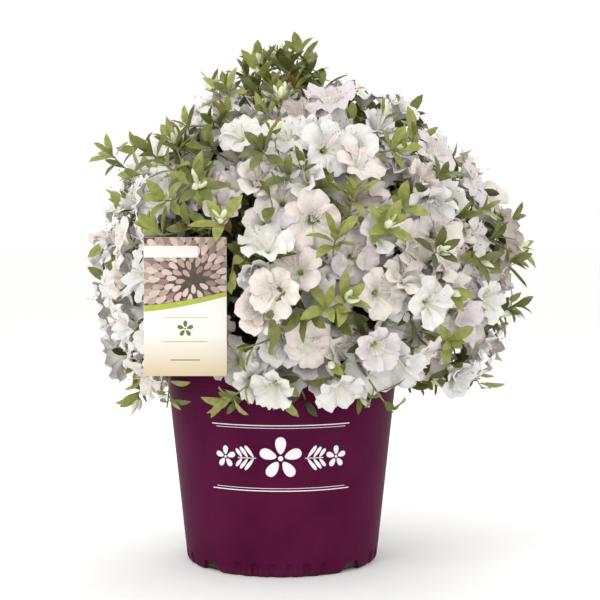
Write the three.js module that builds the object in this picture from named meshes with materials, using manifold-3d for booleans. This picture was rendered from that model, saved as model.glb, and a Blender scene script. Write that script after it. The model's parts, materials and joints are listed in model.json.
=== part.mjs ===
// A flowering azalea shrub standing in its nursery pot, with the grower's label on a stake.
// Millimetres, +Z up, the front of the plant towards -Y.
// The origin is the centre of the pot's flat underside.

import * as THREE from "three";
import { ConvexGeometry } from "three/addons/geometries/ConvexGeometry.js";
import { mergeVertices } from "three/addons/utils/BufferGeometryUtils.js";
import Module from "manifold-3d";

const wasm = await Module();
wasm.setup();

// ---------- driving dimensions ----------

const CLEARANCE = 0.3; // between solids that touch on the real plant
const SHORTEST_EDGE = 0.02;
const NUDGES = [[0, 0, 0], [0.05, 0.04, 0.03], [-0.06, 0.03, 0.05], [0.04, -0.07, -0.05]];
const POT = {
  sides: 36,
  height: 235,
  lipHeight: 12,
  lipRadius: 144,
  topRadius: 139.8, // outside of the wall, just under the lip
  baseRadius: 116.2,
  wall: 2.4,
  floor: 3,
  edge: 1.5,
};
const FLUTE = { width: 9, foot: 1.8, height: 16, depth: 1.2, pitchDeg: 10, perGroup: 6, groups: 4, arcs: 2 };
const DRAIN = { topWidth: 20, bottomWidth: 32, height: 12, reach: 12, thickness: 20 };
const SOIL = { top: 216, edgeTop: 211, flatRadius: 45 };
const TRUNK = { height: 40, flareRadius: 24, radius: 17, topRadius: 15, lean: 5, sides: 10 };
const LABEL = {
  width: 90,
  height: 151,
  thickness: 1,
  centreX: -102.7,
  bottom: 241,
  faceY: -190,
  cornerRadius: 3,
  stakeWidth: 12,
  stakeThickness: 1.4,
  stakeY: -72, // where the stake goes down into the soil
  stakeDepth: 50,
};

// The crown is an ellipsoid. Its masses stand on rings round its centre, each in its own cell.
const CROWN = {
  centre: new THREE.Vector3(27, 0, 337),
  reach: new THREE.Vector3(272, 262, 300), // out to the furthest leaf tips
  flatTop: 0.12, // how much less than that it reaches straight up
  lowest: 198, // where the skirt of leaves ends
  core: 0.5, // boughs fill this share of the reach, and masses the rest
  site: 0.78, // where the cells are centred
  cellGap: 0.4, // half the space between neighbouring masses
  spread: 150, // furthest that a mass reaches from its middle
};
const RINGS = [
  { name: "low", count: 5, elevation: -8, first: 8, blooms: 0.95 },
  { name: "mid", count: 4, elevation: 24, first: -28, blooms: 0.9 },
  { name: "high", count: 3, elevation: 60, first: 22, blooms: 0.75 },
];
// Where the bough of each mass starts in the trunk, how steeply it climbs there, and its radius.
const FORKS = {
  low: { height: 9, aside: 5, climb: 0.9, radius: 4.2 },
  mid: { height: 22, aside: 5, climb: 0.9, radius: 4.2 },
  high: { height: 36, aside: 9, climb: 3, radius: 3.9 },
};
const SPRIGS = [new THREE.Vector3(22, -8, 612), new THREE.Vector3(-205, -20, 492)]; // long shoots
const BOUGH = { sides: 5, steps: 4, tipShare: 0.6, leave: 0.3, arrive: 0.35 };
const STEM = { sides: 4, endShare: 0.69, radius: 2.4, tipRadius: 1.6 };
const TWIG = {
  rootRadius: 1.6,
  tipRadius: 1.2,
  lowest: 0.25, // the stretch of the stem that twigs branch from
  highest: 0.95,
  flowering: { leaves: 1, open: 62, bare: 7 }, // how far the leaves open, and the bare stretch above them
  leafy: { leaves: 4, open: 30, bare: 2 },
  long: { leaves: 7, open: 22, bare: 2 },
};
const BLOOM = {
  radius: 31,
  petals: 5,
  throat: 8,
  depth: 16,
  neck: 1.6, // radius where the funnel leaves its stalk
  tilt: 0.9,
  spacing: 56,
  margin: 24,
  low: 0.83, // how far out, as a share of the crown's reach
  high: 0.92,
};
const PETAL_CORNERS = [
  { turn: -0.5, reach: 0.68, lift: 0 },
  { turn: -0.22, reach: 1, lift: 3 },
  { turn: 0.22, reach: 1, lift: 3 },
];
const SHOOT = {
  pitch: 4,
  openMore: 9, // degrees by which each leaf further down stands out more
  openBy: 12,
  margin: 8,
  spacing: 47,
  low: 0.85,
  high: 0.93,
};
const LEAF = { length: 50, width: 20, thickness: 1, belly: 0.56, sunk: 2.5 };
const THICKET = {
  sides: 5,
  margin: 12,
  rings: [
    { share: 0.6, nearer: 0.5, phase: 0 },
    { share: 0.7, nearer: 0.9, phase: 0.5 },
    { share: 0.76, nearer: 0.45, phase: 0 },
  ],
};
const SPOTS = 140; // tried in each mass, from the walls of its cell inwards
const GOLDEN_DEG = 137.508;

// ---------- small helpers ----------

const vec = (x, y, z) => new THREE.Vector3(x, y, z);
const rad = THREE.MathUtils.degToRad;
const mix = THREE.MathUtils.lerp;

/** A linear congruential generator, so that every build grows the same plant. */
function seeded(seed) {
  let state = (Math.imul(seed, 2654435761) + 12345) >>> 0;
  return () => {
    state = (Math.imul(state, 1664525) + 1013904223) >>> 0;
    return state / 4294967296;
  };
}

/** Two unit vectors square to a direction and to each other. */
function across(direction) {
  const aid = Math.abs(direction.z) > 0.9 ? vec(1, 0, 0) : vec(0, 0, 1);
  const right = aid.cross(direction).normalize();
  return [right, direction.clone().cross(right).normalize()];
}

/** A manifold-3d solid of a closed geometry, with its shared corners merged. */
function solidFrom(geometry) {
  const bare = new THREE.BufferGeometry().setAttribute("position", geometry.getAttribute("position"));
  bare.setIndex(geometry.index);
  const merged = mergeVertices(bare, 1e-3);
  const vertProperties = merged.getAttribute("position").array;
  const triVerts = new Uint32Array(merged.index.array);
  const solid = new wasm.Manifold(new wasm.Mesh({ numProp: 3, vertProperties, triVerts }));
  if (solid.volume() <= 0) throw new Error("a solid's faces point inwards");
  return solid;
}

function solidOf(corners, triangles) {
  return solidFrom(new THREE.BufferGeometry().setFromPoints(corners).setIndex(triangles.flat()));
}

/** Fuses solids and keeps the largest body, which fills sealed hollows and drops loose scraps. */
function fuse(solids) {
  const bodies = wasm.Manifold.union(solids).simplify(SHORTEST_EDGE).decompose();
  return bodies.reduce((best, body) => (body.volume() > best.volume() ? body : best));
}

/** True if a solid is still one closed body once its corners are rounded. */
function isSound(solid) {
  const { vertProperties, triVerts, numProp } = solid.getMesh();
  const position = (i) => vertProperties.subarray(i * numProp, i * numProp + 3);
  const corner = (i) => Array.from(position(i), (v) => v.toFixed(4)).join(",");
  const faces = new Map();
  for (let i = 0; i < triVerts.length; i++) {
    const next = i % 3 === 2 ? i - 2 : i + 1;
    const edge = [corner(triVerts[i]), corner(triVerts[next])].sort().join(" ");
    faces.set(edge, (faces.get(edge) ?? 0) + 1);
  }
  if ([...faces.values()].some((count) => count !== 2)) return false;
  return solidFrom(geometryFrom(solid)).decompose().length === 1;
}

/** Adds pieces one at a time. A piece that leaves the body unsound is nudged, and then left out. */
function growOn(body, pieces) {
  return pieces.reduce((made, piece) => {
    for (const nudge of NUDGES) {
      const larger = fuse([made, piece.translate(nudge)]);
      if (isSound(larger)) return larger;
    }
    return made;
  }, body);
}

function geometryFrom(solid) {
  const mesh = solid.getMesh();
  const geometry = new THREE.BufferGeometry();
  geometry.setAttribute("position", new THREE.BufferAttribute(new Float32Array(mesh.vertProperties), 3));
  return geometry.setIndex(new THREE.BufferAttribute(new Uint32Array(mesh.triVerts), 1));
}

/** A ring of evenly spaced corners round a point. */
function ring(point, right, up, radius, sides) {
  return Array.from({ length: sides }, (_, k) => {
    const turn = (2 * Math.PI * k) / sides;
    const out = right.clone().multiplyScalar(Math.cos(turn)).addScaledVector(up, Math.sin(turn));
    return point.clone().addScaledVector(out, radius);
  });
}

/** A limb that tapers evenly along a curve, from one radius to another. */
function limb(curve, from, to, sides, steps = 1) {
  const corners = [];
  const triangles = [];
  let [right] = across(curve.getTangentAt(0));
  for (let i = 0; i <= steps; i++) {
    const along = curve.getTangentAt(i / steps);
    right = right.clone().addScaledVector(along, -right.dot(along)).normalize();
    const up = along.clone().cross(right);
    corners.push(...ring(curve.getPointAt(i / steps), right, up, mix(from, to, i / steps), sides));
  }
  for (let i = 0; i < steps; i++)
    for (let k = 0; k < sides; k++) {
      const a = i * sides + k;
      const b = i * sides + ((k + 1) % sides);
      triangles.push([a, b, b + sides], [a, b + sides, a + sides]);
    }
  const last = steps * sides;
  for (let k = 1; k + 1 < sides; k++) triangles.push([0, k + 1, k], [last, last + k, last + k + 1]);
  return solidOf(corners, triangles);
}

const straight = (a, b, ...sizes) => limb(new THREE.LineCurve3(a, b), ...sizes);

// ---------- pot ----------

const underLip = POT.height - POT.lipHeight;
const facetRadius = POT.baseRadius * Math.cos(Math.PI / POT.sides); // at the middle of a facet
const innerRadius = (z) => mix(POT.baseRadius, POT.topRadius, z / underLip) - POT.wall;

function turned(profile, sides = POT.sides) {
  const outline = profile.map(([r, z]) => new THREE.Vector2(r, z));
  return solidFrom(new THREE.LatheGeometry(outline, sides).rotateX(Math.PI / 2));
}

/** Stands a cutter on the foot of the pot's wall: X runs along the wall, Y up its slope, Z outwards. */
function onWall(shape, thickness, azimuth, radius, curveSegments = 1) {
  const slope = Math.atan2(POT.topRadius - POT.baseRadius, underLip);
  const cutter = new THREE.ExtrudeGeometry(shape, { depth: thickness, bevelEnabled: false, curveSegments });
  cutter.rotateX(Math.PI / 2).rotateZ(Math.PI).rotateX(-slope).translate(0, radius, 0);
  return solidFrom(cutter.rotateZ(azimuth - Math.PI / 2));
}

/** Short arched flutes pressed into the foot of the wall, in a group on each of four sides. */
function flutes() {
  const half = FLUTE.width / 2;
  const arch = new THREE.Shape();
  arch.moveTo(-half, FLUTE.foot);
  arch.lineTo(half, FLUTE.foot);
  arch.absarc(0, FLUTE.height - half, half, 0, Math.PI, false);
  const cutters = [];
  for (let group = 0; group < FLUTE.groups; group++)
    for (let i = 0; i < FLUTE.perGroup; i++) {
      const offset = (i - (FLUTE.perGroup - 1) / 2) * FLUTE.pitchDeg;
      const azimuth = rad(-90 + (group * 360) / FLUTE.groups + offset);
      cutters.push(onWall(arch, FLUTE.height, azimuth, facetRadius - FLUTE.depth, FLUTE.arcs));
    }
  return cutters;
}

/** Drain openings at the foot, midway between the groups of flutes. */
function drains() {
  const opening = new THREE.Shape();
  opening.moveTo(-DRAIN.bottomWidth / 2, -1);
  opening.lineTo(DRAIN.bottomWidth / 2, -1);
  opening.lineTo(DRAIN.topWidth / 2, DRAIN.height);
  opening.lineTo(-DRAIN.topWidth / 2, DRAIN.height);
  return Array.from({ length: FLUTE.groups }, (_, i) => {
    const azimuth = rad(-45 + (i * 360) / FLUTE.groups);
    return onWall(opening, DRAIN.reach + DRAIN.thickness, azimuth, POT.baseRadius - DRAIN.reach);
  });
}

function potSolid() {
  const shell = turned([
    [0, 0],
    [POT.baseRadius - POT.edge, 0],
    [POT.baseRadius, POT.edge],
    [POT.topRadius, underLip],
    [POT.lipRadius, underLip],
    [POT.lipRadius, POT.height - POT.edge],
    [POT.lipRadius - POT.edge, POT.height],
    [innerRadius(POT.height), POT.height],
    [innerRadius(POT.floor), POT.floor],
    [0, POT.floor],
  ]);
  return shell.subtract(wasm.Manifold.union([...flutes(), ...drains()]));
}

// ---------- soil, and the label on its stake ----------

// The stake leaves the back of the card, runs back over the pot's lip and turns down into the soil.
const stakeCurve = new THREE.CatmullRomCurve3(
  [
    vec(0, LABEL.faceY + LABEL.thickness / 2, LABEL.bottom + 70),
    vec(0, LABEL.faceY + 18, LABEL.bottom + 46),
    vec(0, LABEL.faceY + 52, LABEL.bottom + 24),
    vec(0, LABEL.stakeY - 33, POT.height + 13),
    vec(0, LABEL.stakeY - 12, POT.height + 5),
    vec(0, LABEL.stakeY, SOIL.top + 4),
    vec(0, LABEL.stakeY, SOIL.top - LABEL.stakeDepth / 2),
    vec(0, LABEL.stakeY, SOIL.top - LABEL.stakeDepth),
  ],
  false,
  "centripetal",
);

function soilSolid() {
  const low = POT.floor + CLEARANCE;
  const ball = turned([
    [0, low],
    [innerRadius(low) - CLEARANCE, low],
    [innerRadius(SOIL.edgeTop) - CLEARANCE, SOIL.edgeTop],
    [SOIL.flatRadius, SOIL.top],
    [0, SOIL.top],
  ]);
  return ball.subtract(stakeSolid(CLEARANCE));
}

function cardSolid() {
  const r = LABEL.cornerRadius;
  const x = LABEL.width / 2 - r;
  const y = LABEL.height / 2 - r;
  const card = new THREE.Shape();
  card.absarc(x, -y, r, -Math.PI / 2, 0, false);
  card.absarc(x, y, r, 0, Math.PI / 2, false);
  card.absarc(-x, y, r, Math.PI / 2, Math.PI, false);
  card.absarc(-x, -y, r, Math.PI, 1.5 * Math.PI, false);
  const plate = new THREE.ExtrudeGeometry(card, {
    depth: LABEL.thickness,
    bevelEnabled: false,
    curveSegments: 3,
  });
  plate.rotateX(Math.PI / 2);
  plate.translate(LABEL.centreX, LABEL.faceY + LABEL.thickness, LABEL.bottom + LABEL.height / 2);
  return solidFrom(plate);
}

/** The bent stake. `grown` makes it larger all round, to cut its slot in the soil. */
function stakeSolid(grown = 0) {
  const steps = 16;
  const half = LABEL.stakeThickness / 2 + grown;
  const side = (sign) =>
    stakeCurve.getSpacedPoints(steps).map((point, i) => {
      const along = stakeCurve.getTangentAt(i / steps);
      const end = i === steps ? grown : 0;
      return new THREE.Vector2(point.y - sign * half * along.z, point.z + sign * half * along.y - end);
    });
  const ribbon = new THREE.Shape([...side(1), ...side(-1).reverse()]);
  const depth = LABEL.stakeWidth + 2 * grown;
  const stake = new THREE.ExtrudeGeometry(ribbon, { depth, bevelEnabled: false });
  // The ribbon is drawn in the plant's (y, z), so the axes of the extrusion turn round by one.
  stake.applyMatrix4(new THREE.Matrix4().set(0, 0, 1, 0, 1, 0, 0, 0, 0, 1, 0, 0, 0, 0, 0, 1));
  return solidFrom(stake.translate(LABEL.centreX - depth / 2, 0, 0));
}

// ---------- trunk ----------

const trunkFoot = vec(0, 0, SOIL.top + CLEARANCE);
const trunkAt = (height) => trunkFoot.clone().add(vec((TRUNK.lean * height) / TRUNK.height, 0, height));

/** The short flared stem, cut level at both ends. `grown` makes it larger, to cut what stands on it. */
function trunkSolid(grown = 0) {
  const stem = turned(
    [
      [0, -grown],
      [TRUNK.flareRadius + grown, -grown],
      [(TRUNK.flareRadius + TRUNK.radius) / 2 + grown, TRUNK.height * 0.14],
      [TRUNK.radius + grown, TRUNK.height * 0.4],
      [TRUNK.topRadius + grown, TRUNK.height + grown],
      [0, TRUNK.height + grown],
    ],
    TRUNK.sides,
  );
  const leaning = new THREE.Matrix4().makeShear(0, 0, 0, 0, TRUNK.lean / TRUNK.height, 0);
  return stem.transform(leaning.setPosition(trunkFoot).elements);
}

// ---------- crown ----------

/** The point of the crown in a direction, at a share of its reach, and the share of any point. */
const onCrown = (direction, share) =>
  CROWN.reach.clone().multiply(direction).multiplyScalar(share).add(CROWN.centre);
const fromCentre = (point) => point.clone().sub(CROWN.centre).divide(CROWN.reach);
const outline = (direction) => 1 - CROWN.flatTop * Math.max(0, direction.z) ** 2;

/** A point on the crown's surface, straight out from the centre past another point. */
function outPast(point, share) {
  const direction = fromCentre(point).normalize();
  return onCrown(direction, share * outline(direction));
}

const masses = RINGS.flatMap((row) =>
  Array.from({ length: row.count }, (_, i) => {
    const azimuth = rad(-90 + row.first + (i * 360) / row.count);
    const elevation = rad(row.elevation);
    const flat = Math.cos(elevation);
    const direction = vec(flat * Math.cos(azimuth), flat * Math.sin(azimuth), Math.sin(elevation));
    return { name: `${row.name}_${i + 1}`, row, direction, site: onCrown(direction, CROWN.site) };
  }),
);
masses.forEach((mass, i) => {
  mass.seed = i + 1;
  mass.root = onCrown(mass.direction, CROWN.core);
  mass.outward = mass.site.clone().sub(mass.root).normalize();
  const stemEnd = onCrown(mass.direction, STEM.endShare * outline(mass.direction));
  mass.stem = [mass.root.clone().addScaledVector(mass.outward, CLEARANCE), stemEnd];
  mass.planes = boundsOf(mass);
});

/** The planes, halfway to each neighbour and at the skirt, that bound the cell of a mass. */
function boundsOf(mass) {
  const planes = masses
    .filter((other) => other !== mass)
    .map((other) => ({
      middle: other.site.clone().lerp(mass.site, 0.5),
      out: other.site.clone().sub(mass.site).normalize(),
    }));
  return [...planes, { middle: vec(0, 0, CROWN.lowest), out: vec(0, 0, -1) }];
}

/** How far from its middle a mass reaches sideways, with a margin kept from the walls of its cell. */
function roomAcross(mass, way, margin, limit) {
  return mass.planes.reduce((room, { middle, out }) => {
    const lean = way.dot(out);
    if (lean < 0.2) return room;
    return Math.min(room, (middle.clone().sub(mass.site).dot(out) - margin) / lean);
  }, limit);
}

const stakeLine = stakeCurve.getSpacedPoints(60);

/** True where a piece would touch the pot, hide the label or touch its stake. */
function taken({ x, y, z }) {
  if (z < POT.height + 4 && Math.hypot(x, y) < POT.lipRadius + 4) return true;
  const aside = Math.abs(x - LABEL.centreX);
  const above = Math.abs(z - LABEL.bottom - LABEL.height / 2);
  if (y < LABEL.faceY + 14 && aside < LABEL.width / 2 + 4 && above < LABEL.height / 2 + 4) return true;
  return (
    aside < LABEL.stakeWidth / 2 + 3 && stakeLine.some((on) => Math.hypot(y - on.y, z - on.z) < 6)
  );
}

/** True if these points of a piece lie in the room that its mass has to itself. */
function hasRoom(points, mass) {
  return points.every((point) => {
    const inCell = mass.planes.every(
      ({ middle, out }) => middle.clone().sub(point).dot(out) > CROWN.cellGap,
    );
    return inCell && fromCentre(point).length() > CROWN.core + 0.015 && !taken(point);
  });
}

function between(a, b) {
  const count = Math.ceil(a.distanceTo(b) / 5);
  return Array.from({ length: count }, (_, i) => a.clone().lerp(b, (i + 1) / count));
}

/** A bough rises out of the trunk and bends over to where its mass of foliage begins. */
function boughSolid(mass) {
  const { height, aside, climb, radius } = FORKS[mass.row.name];
  const start = trunkAt(height).add(vec(mass.outward.x, mass.outward.y, 0).setLength(aside));
  const span = start.distanceTo(mass.root);
  const rise = vec(mass.outward.x, mass.outward.y, climb).normalize();
  const curve = new THREE.CubicBezierCurve3(
    start,
    start.clone().addScaledVector(rise, span * BOUGH.leave),
    mass.root.clone().addScaledVector(mass.outward, -span * BOUGH.arrive),
    mass.root,
  );
  const bough = limb(curve, radius, radius * BOUGH.tipShare, BOUGH.sides, BOUGH.steps);
  return fuse([bough.subtract(trunkSolid(CLEARANCE))]);
}

// ---------- twigs, blooms and leaves ----------

/** The unit vector at an angle round a direction. */
function around(direction, angle) {
  const [right, up] = across(direction);
  return right.multiplyScalar(Math.cos(angle)).addScaledVector(up, Math.sin(angle));
}

/** The corners of a bloom's five petals, in order round its mouth. */
function rimOf({ mouth, facing, radius, spin }) {
  return Array.from({ length: BLOOM.petals }, (_, petal) =>
    PETAL_CORNERS.map(({ turn, reach, lift }) => {
      const out = around(facing, spin + ((petal + turn) * 2 * Math.PI) / BLOOM.petals);
      return mouth.clone().addScaledVector(out, radius * reach).addScaledVector(facing, lift);
    }),
  ).flat();
}

/** A flowering twig, one closed solid: a three-sided stalk that opens into a funnel of five petals. */
function flowerSolid(flower) {
  const { root, end, mouth, facing, spin } = flower;
  const rim = rimOf(flower);
  const count = rim.length;
  const throat = mouth.clone().addScaledVector(facing, -BLOOM.throat);
  const frame = [around(facing, spin), around(facing, spin + Math.PI / 2)];
  const corners = [
    ...rim,
    ...ring(end, ...frame, BLOOM.neck, 3),
    ...ring(root, ...frame, TWIG.rootRadius, 3),
    throat,
  ];
  const neck = (i) => count + (Math.round((i * 3) / count) % 3); // the neck's corner that faces a rim corner
  const triangles = [[count + 5, count + 4, count + 3]];
  for (let i = 0; i < count; i++) {
    const next = (i + 1) % count;
    triangles.push([i, next, count + 6], [next, i, neck(i)]);
    if (neck(next) !== neck(i)) triangles.push([next, neck(i), neck(next)]);
  }
  for (let k = 0; k < 3; k++) {
    const [a, b] = [count + k, count + ((k + 1) % 3)];
    triangles.push([b, a, a + 3], [b, a + 3, b + 3]);
  }
  return solidOf(corners, triangles);
}

/** A leaf of eight faces: its root, its tip, two edges and a ridge above and below. */
function leafSolid(root, along, up, scale, mass) {
  const side = along.clone().cross(up).normalize();
  const belly = root.clone().addScaledVector(along, LEAF.length * scale * LEAF.belly);
  const tip = root.clone().addScaledVector(along, LEAF.length * scale);
  const edges = [0.5, -0.5].map((way) => belly.clone().addScaledVector(side, way * LEAF.width * scale));
  if (!hasRoom([...edges, ...between(root, tip)], mass)) return null;
  const ridge = side.cross(along).multiplyScalar(LEAF.thickness / 2);
  const sunk = root.clone().addScaledVector(along, -LEAF.sunk);
  const corners = [sunk, tip, ...edges, belly.clone().add(ridge), belly.clone().sub(ridge)];
  const above = [[0, 2, 4], [2, 1, 4], [1, 3, 4], [3, 0, 4]];
  return solidOf(corners, [...above, ...above.map(([a, b]) => [b, a, 5])]);
}

/** The leaves of a twig, in a spiral down from its end. */
function leavesOn(twig, mass) {
  const random = seeded(twig.seed);
  const along = twig.end.clone().sub(twig.root).normalize();
  const [right, up] = across(along);
  return Array.from({ length: twig.leaves }, (_, i) => {
    const turn = rad(GOLDEN_DEG * i) + twig.spin;
    const out = right.clone().multiplyScalar(Math.cos(turn)).addScaledVector(up, Math.sin(turn));
    const open = rad(twig.open + i * SHOOT.openMore + SHOOT.openBy * (random() - 0.5));
    const way = along.clone().multiplyScalar(Math.cos(open)).addScaledVector(out, Math.sin(open));
    const root = twig.end.clone().addScaledVector(along, -twig.bare - i * SHOOT.pitch);
    return leafSolid(root, way, along.clone().sub(out), mix(0.82, 1.08, random()), mass);
  }).filter(Boolean);
}

/** True if a stalk would pass through another twig's bloom. */
function crosses(root, tip, { mouth, radius = SHOOT.margin }) {
  const nearest = new THREE.Line3(root, tip).closestPointToPoint(mouth, true, vec());
  return nearest.distanceTo(mouth) < radius;
}

/** The twigs of a mass. Spots in a spiral over its face are tried twice, for blooms and then for leaves. */
function twigsOf(mass) {
  const random = seeded(mass.seed);
  const [right, up] = across(mass.outward);
  const start = 2 * Math.PI * random();
  const spotAt = (step, margin, share) => {
    const turn = start + rad(GOLDEN_DEG * step);
    const way = right.clone().multiplyScalar(Math.cos(turn)).addScaledVector(up, Math.sin(turn));
    const aside = Math.sqrt(step / SPOTS) * roomAcross(mass, way, margin, CROWN.spread);
    return outPast(mass.site.clone().addScaledVector(way, aside), share);
  };
  const rootAt = (share) => mass.stem[0].clone().lerp(mass.stem[1], share);
  const twigs = [];
  const crowded = (root, tip, spacing) =>
    twigs.some((twig) => twig.mouth.distanceTo(tip) < spacing || crosses(root, tip, twig));
  for (let step = SPOTS; step > 0; step--) {
    const draws = Array.from({ length: 8 }, random);
    const mouth = spotAt(step, BLOOM.margin, mix(BLOOM.low, BLOOM.high, draws[0]));
    const root = rootAt(mix(TWIG.highest, TWIG.lowest, draws[2]));
    if (draws[1] > mass.row.blooms || crowded(root, mouth, BLOOM.spacing)) continue;
    const jitter = vec(draws[3] - 0.5, draws[4] - 0.5, draws[5] - 0.5).multiplyScalar(BLOOM.tilt);
    const facing = mouth.clone().sub(root).normalize().add(mass.outward).add(jitter).normalize();
    const end = mouth.clone().addScaledVector(facing, -BLOOM.depth);
    const radius = BLOOM.radius * mix(0.88, 1.06, draws[6]);
    const twig = { root, end, mouth, facing, radius, spin: 2 * Math.PI * draws[7], flowers: true };
    if (hasRoom([...rimOf(twig), ...between(root, end)], mass)) twigs.push({ ...twig, ...TWIG.flowering });
  }
  for (let step = SPOTS; step > 0; step--) {
    const draws = Array.from({ length: 3 }, random);
    const end = spotAt(step, SHOOT.margin, mix(SHOOT.low, SHOOT.high, draws[0]));
    const root = rootAt(mix(TWIG.highest, TWIG.lowest, draws[1]));
    if (crowded(root, end, SHOOT.spacing) || !hasRoom(between(root, end), mass)) continue;
    twigs.push({ root, end, mouth: end, spin: 2 * Math.PI * draws[2], ...TWIG.leafy });
  }
  for (const end of SPRIGS)
    if (hasRoom([end], mass)) twigs.push({ root: rootAt(1), end, spin: start, ...TWIG.long });
  return twigs.map((twig, i) => ({ ...twig, seed: mass.seed * 100 + i }));
}

/** The crowded small twigs in the middle of a mass, as one blunt body round its stem. */
function thicketSolid(mass) {
  const [right, up] = across(mass.outward);
  const corners = [];
  for (const { share, nearer, phase } of THICKET.rings)
    for (let i = 0; i < THICKET.sides; i++) {
      const turn = (2 * Math.PI * (i + phase)) / THICKET.sides;
      const way = right.clone().multiplyScalar(Math.cos(turn)).addScaledVector(up, Math.sin(turn));
      const aside = nearer * roomAcross(mass, way, THICKET.margin, CROWN.spread);
      corners.push(outPast(mass.site.clone().addScaledVector(way, aside), share));
    }
  const thicket = solidFrom(new ConvexGeometry(corners.filter((corner) => hasRoom([corner], mass))));
  return thicket.subtract(stakeSolid(1));
}

/** One mass of foliage: a stem, twigs that branch from it, and the blooms and leaves that they carry. */
function massSolid(mass, fixed) {
  const clear = (piece, others) => others.every((other) => other.minGap(piece, 1) > CLEARANCE);
  const stem = straight(...mass.stem, STEM.radius, STEM.tipRadius, STEM.sides);
  const grown = [];
  for (const twig of twigsOf(mass)) {
    const solid = twig.flowers
      ? flowerSolid(twig)
      : straight(twig.root, twig.end, TWIG.rootRadius, TWIG.tipRadius, 3);
    if (clear(solid, fixed)) grown.push({ twig, solid });
  }
  const leaves = [];
  for (const { twig, solid } of grown) {
    const others = [...fixed, ...grown.map((other) => other.solid).filter((other) => other !== solid)];
    for (const leaf of leavesOn(twig, mass))
      if (clear(leaf, [...others, ...leaves])) leaves.push(leaf);
  }
  return growOn(stem, [thicketSolid(mass), ...grown.map(({ solid }) => solid), ...leaves]);
}

// ---------- materials and assembly ----------

const finish = (color, roughness) => new THREE.MeshStandardMaterial({ color, roughness, metalness: 0 });
const PLASTIC = finish(0x5b1f3f, 0.45);
const POTTING_MIX = finish(0x3a2a1e, 0.95);
const CARD = finish(0xf2ece0, 0.35);
const BARK = finish(0x5c4636, 0.9);
const FOLIAGE = finish(0xdcdccb, 0.6);

const azalea = new THREE.Group();

function add(name, solid, material) {
  const mesh = new THREE.Mesh(geometryFrom(solid), material);
  mesh.name = name;
  azalea.add(mesh);
}

const pot = potSolid();
const label = fuse([cardSolid(), stakeSolid()]);
add("pot", pot, PLASTIC);
add("root_ball", soilSolid(), POTTING_MIX);
add("plant_label", label, CARD);
add("trunk", trunkSolid(), BARK);
for (const mass of masses) {
  add(`bough_${mass.name}`, boughSolid(mass), BARK);
  add(`mass_${mass.name}`, massSolid(mass, [pot, label]), FOLIAGE);
}

export default azalea;
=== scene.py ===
# %% [markdown]
# # A flowering azalea in its nursery pot
# The plant is loaded first as a frame of plain solids, and every piece made here stands in that
# frame. Sizes are in millimetres, because that is how a gardener would measure the plant, and each
# mesh is turned into metres when it is made.

# %% Load the frame
import json
import math

import bmesh
import bpy
import numpy as np
from mathutils import Matrix, Vector, noise

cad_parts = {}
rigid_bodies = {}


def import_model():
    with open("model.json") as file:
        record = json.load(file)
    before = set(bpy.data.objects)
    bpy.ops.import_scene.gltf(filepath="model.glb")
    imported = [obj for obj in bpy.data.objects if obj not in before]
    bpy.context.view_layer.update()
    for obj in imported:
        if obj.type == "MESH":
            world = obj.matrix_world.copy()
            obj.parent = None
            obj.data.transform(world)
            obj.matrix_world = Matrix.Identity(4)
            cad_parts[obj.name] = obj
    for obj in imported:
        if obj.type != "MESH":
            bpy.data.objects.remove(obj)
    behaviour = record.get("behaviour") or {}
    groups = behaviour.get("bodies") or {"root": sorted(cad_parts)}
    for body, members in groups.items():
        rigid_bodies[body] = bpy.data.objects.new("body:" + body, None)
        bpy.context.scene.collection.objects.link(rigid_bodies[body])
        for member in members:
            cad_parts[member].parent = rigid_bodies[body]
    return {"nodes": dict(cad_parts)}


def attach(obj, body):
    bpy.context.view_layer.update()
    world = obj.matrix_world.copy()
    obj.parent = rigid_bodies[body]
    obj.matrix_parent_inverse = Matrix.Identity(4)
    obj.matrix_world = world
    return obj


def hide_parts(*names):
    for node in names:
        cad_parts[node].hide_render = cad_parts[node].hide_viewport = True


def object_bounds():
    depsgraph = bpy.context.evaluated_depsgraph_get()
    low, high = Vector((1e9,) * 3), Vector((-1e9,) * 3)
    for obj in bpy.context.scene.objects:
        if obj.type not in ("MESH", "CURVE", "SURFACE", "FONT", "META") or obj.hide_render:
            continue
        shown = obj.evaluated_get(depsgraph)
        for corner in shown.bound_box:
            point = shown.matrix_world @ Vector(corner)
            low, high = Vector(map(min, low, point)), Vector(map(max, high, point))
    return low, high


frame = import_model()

cad_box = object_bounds()
MM = 0.001
NODES = sorted(frame["nodes"])
MASS_NODES = [name for name in NODES if name.startswith("mass_")]
BOUGH_NODES = [name for name in NODES if name.startswith("bough_")]
print("nodes", len(NODES), "masses", len(MASS_NODES), "boughs", len(BOUGH_NODES))


def link(name, data):
    """A new object in the scene, made from a mesh, a lamp or a camera."""
    made = bpy.data.objects.new(name, data)
    bpy.context.collection.objects.link(made)
    return made



# %% [markdown]
# ## Camera, floor and light
# A long lens from a little above the pot's rim keeps the pot's sides nearly straight. The floor
# and the room are plain and pale, and three large soft lamps light the plant as a small studio
# would.

# %% Camera
CAMERA = {"x": 22, "distance": 1680, "height": 390, "aim": 315.4, "focal": 82.4}

camera = link("camera", bpy.data.cameras.new("camera"))
camera.data.lens = CAMERA["focal"]
camera.data.clip_start = 0.05
camera.location = Vector((CAMERA["x"], -CAMERA["distance"], CAMERA["height"])) * MM
sight = Vector((0, CAMERA["distance"], CAMERA["aim"] - CAMERA["height"]))
camera.rotation_euler = sight.to_track_quat("-Z", "Y").to_euler()
bpy.context.scene.camera = camera

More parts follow.
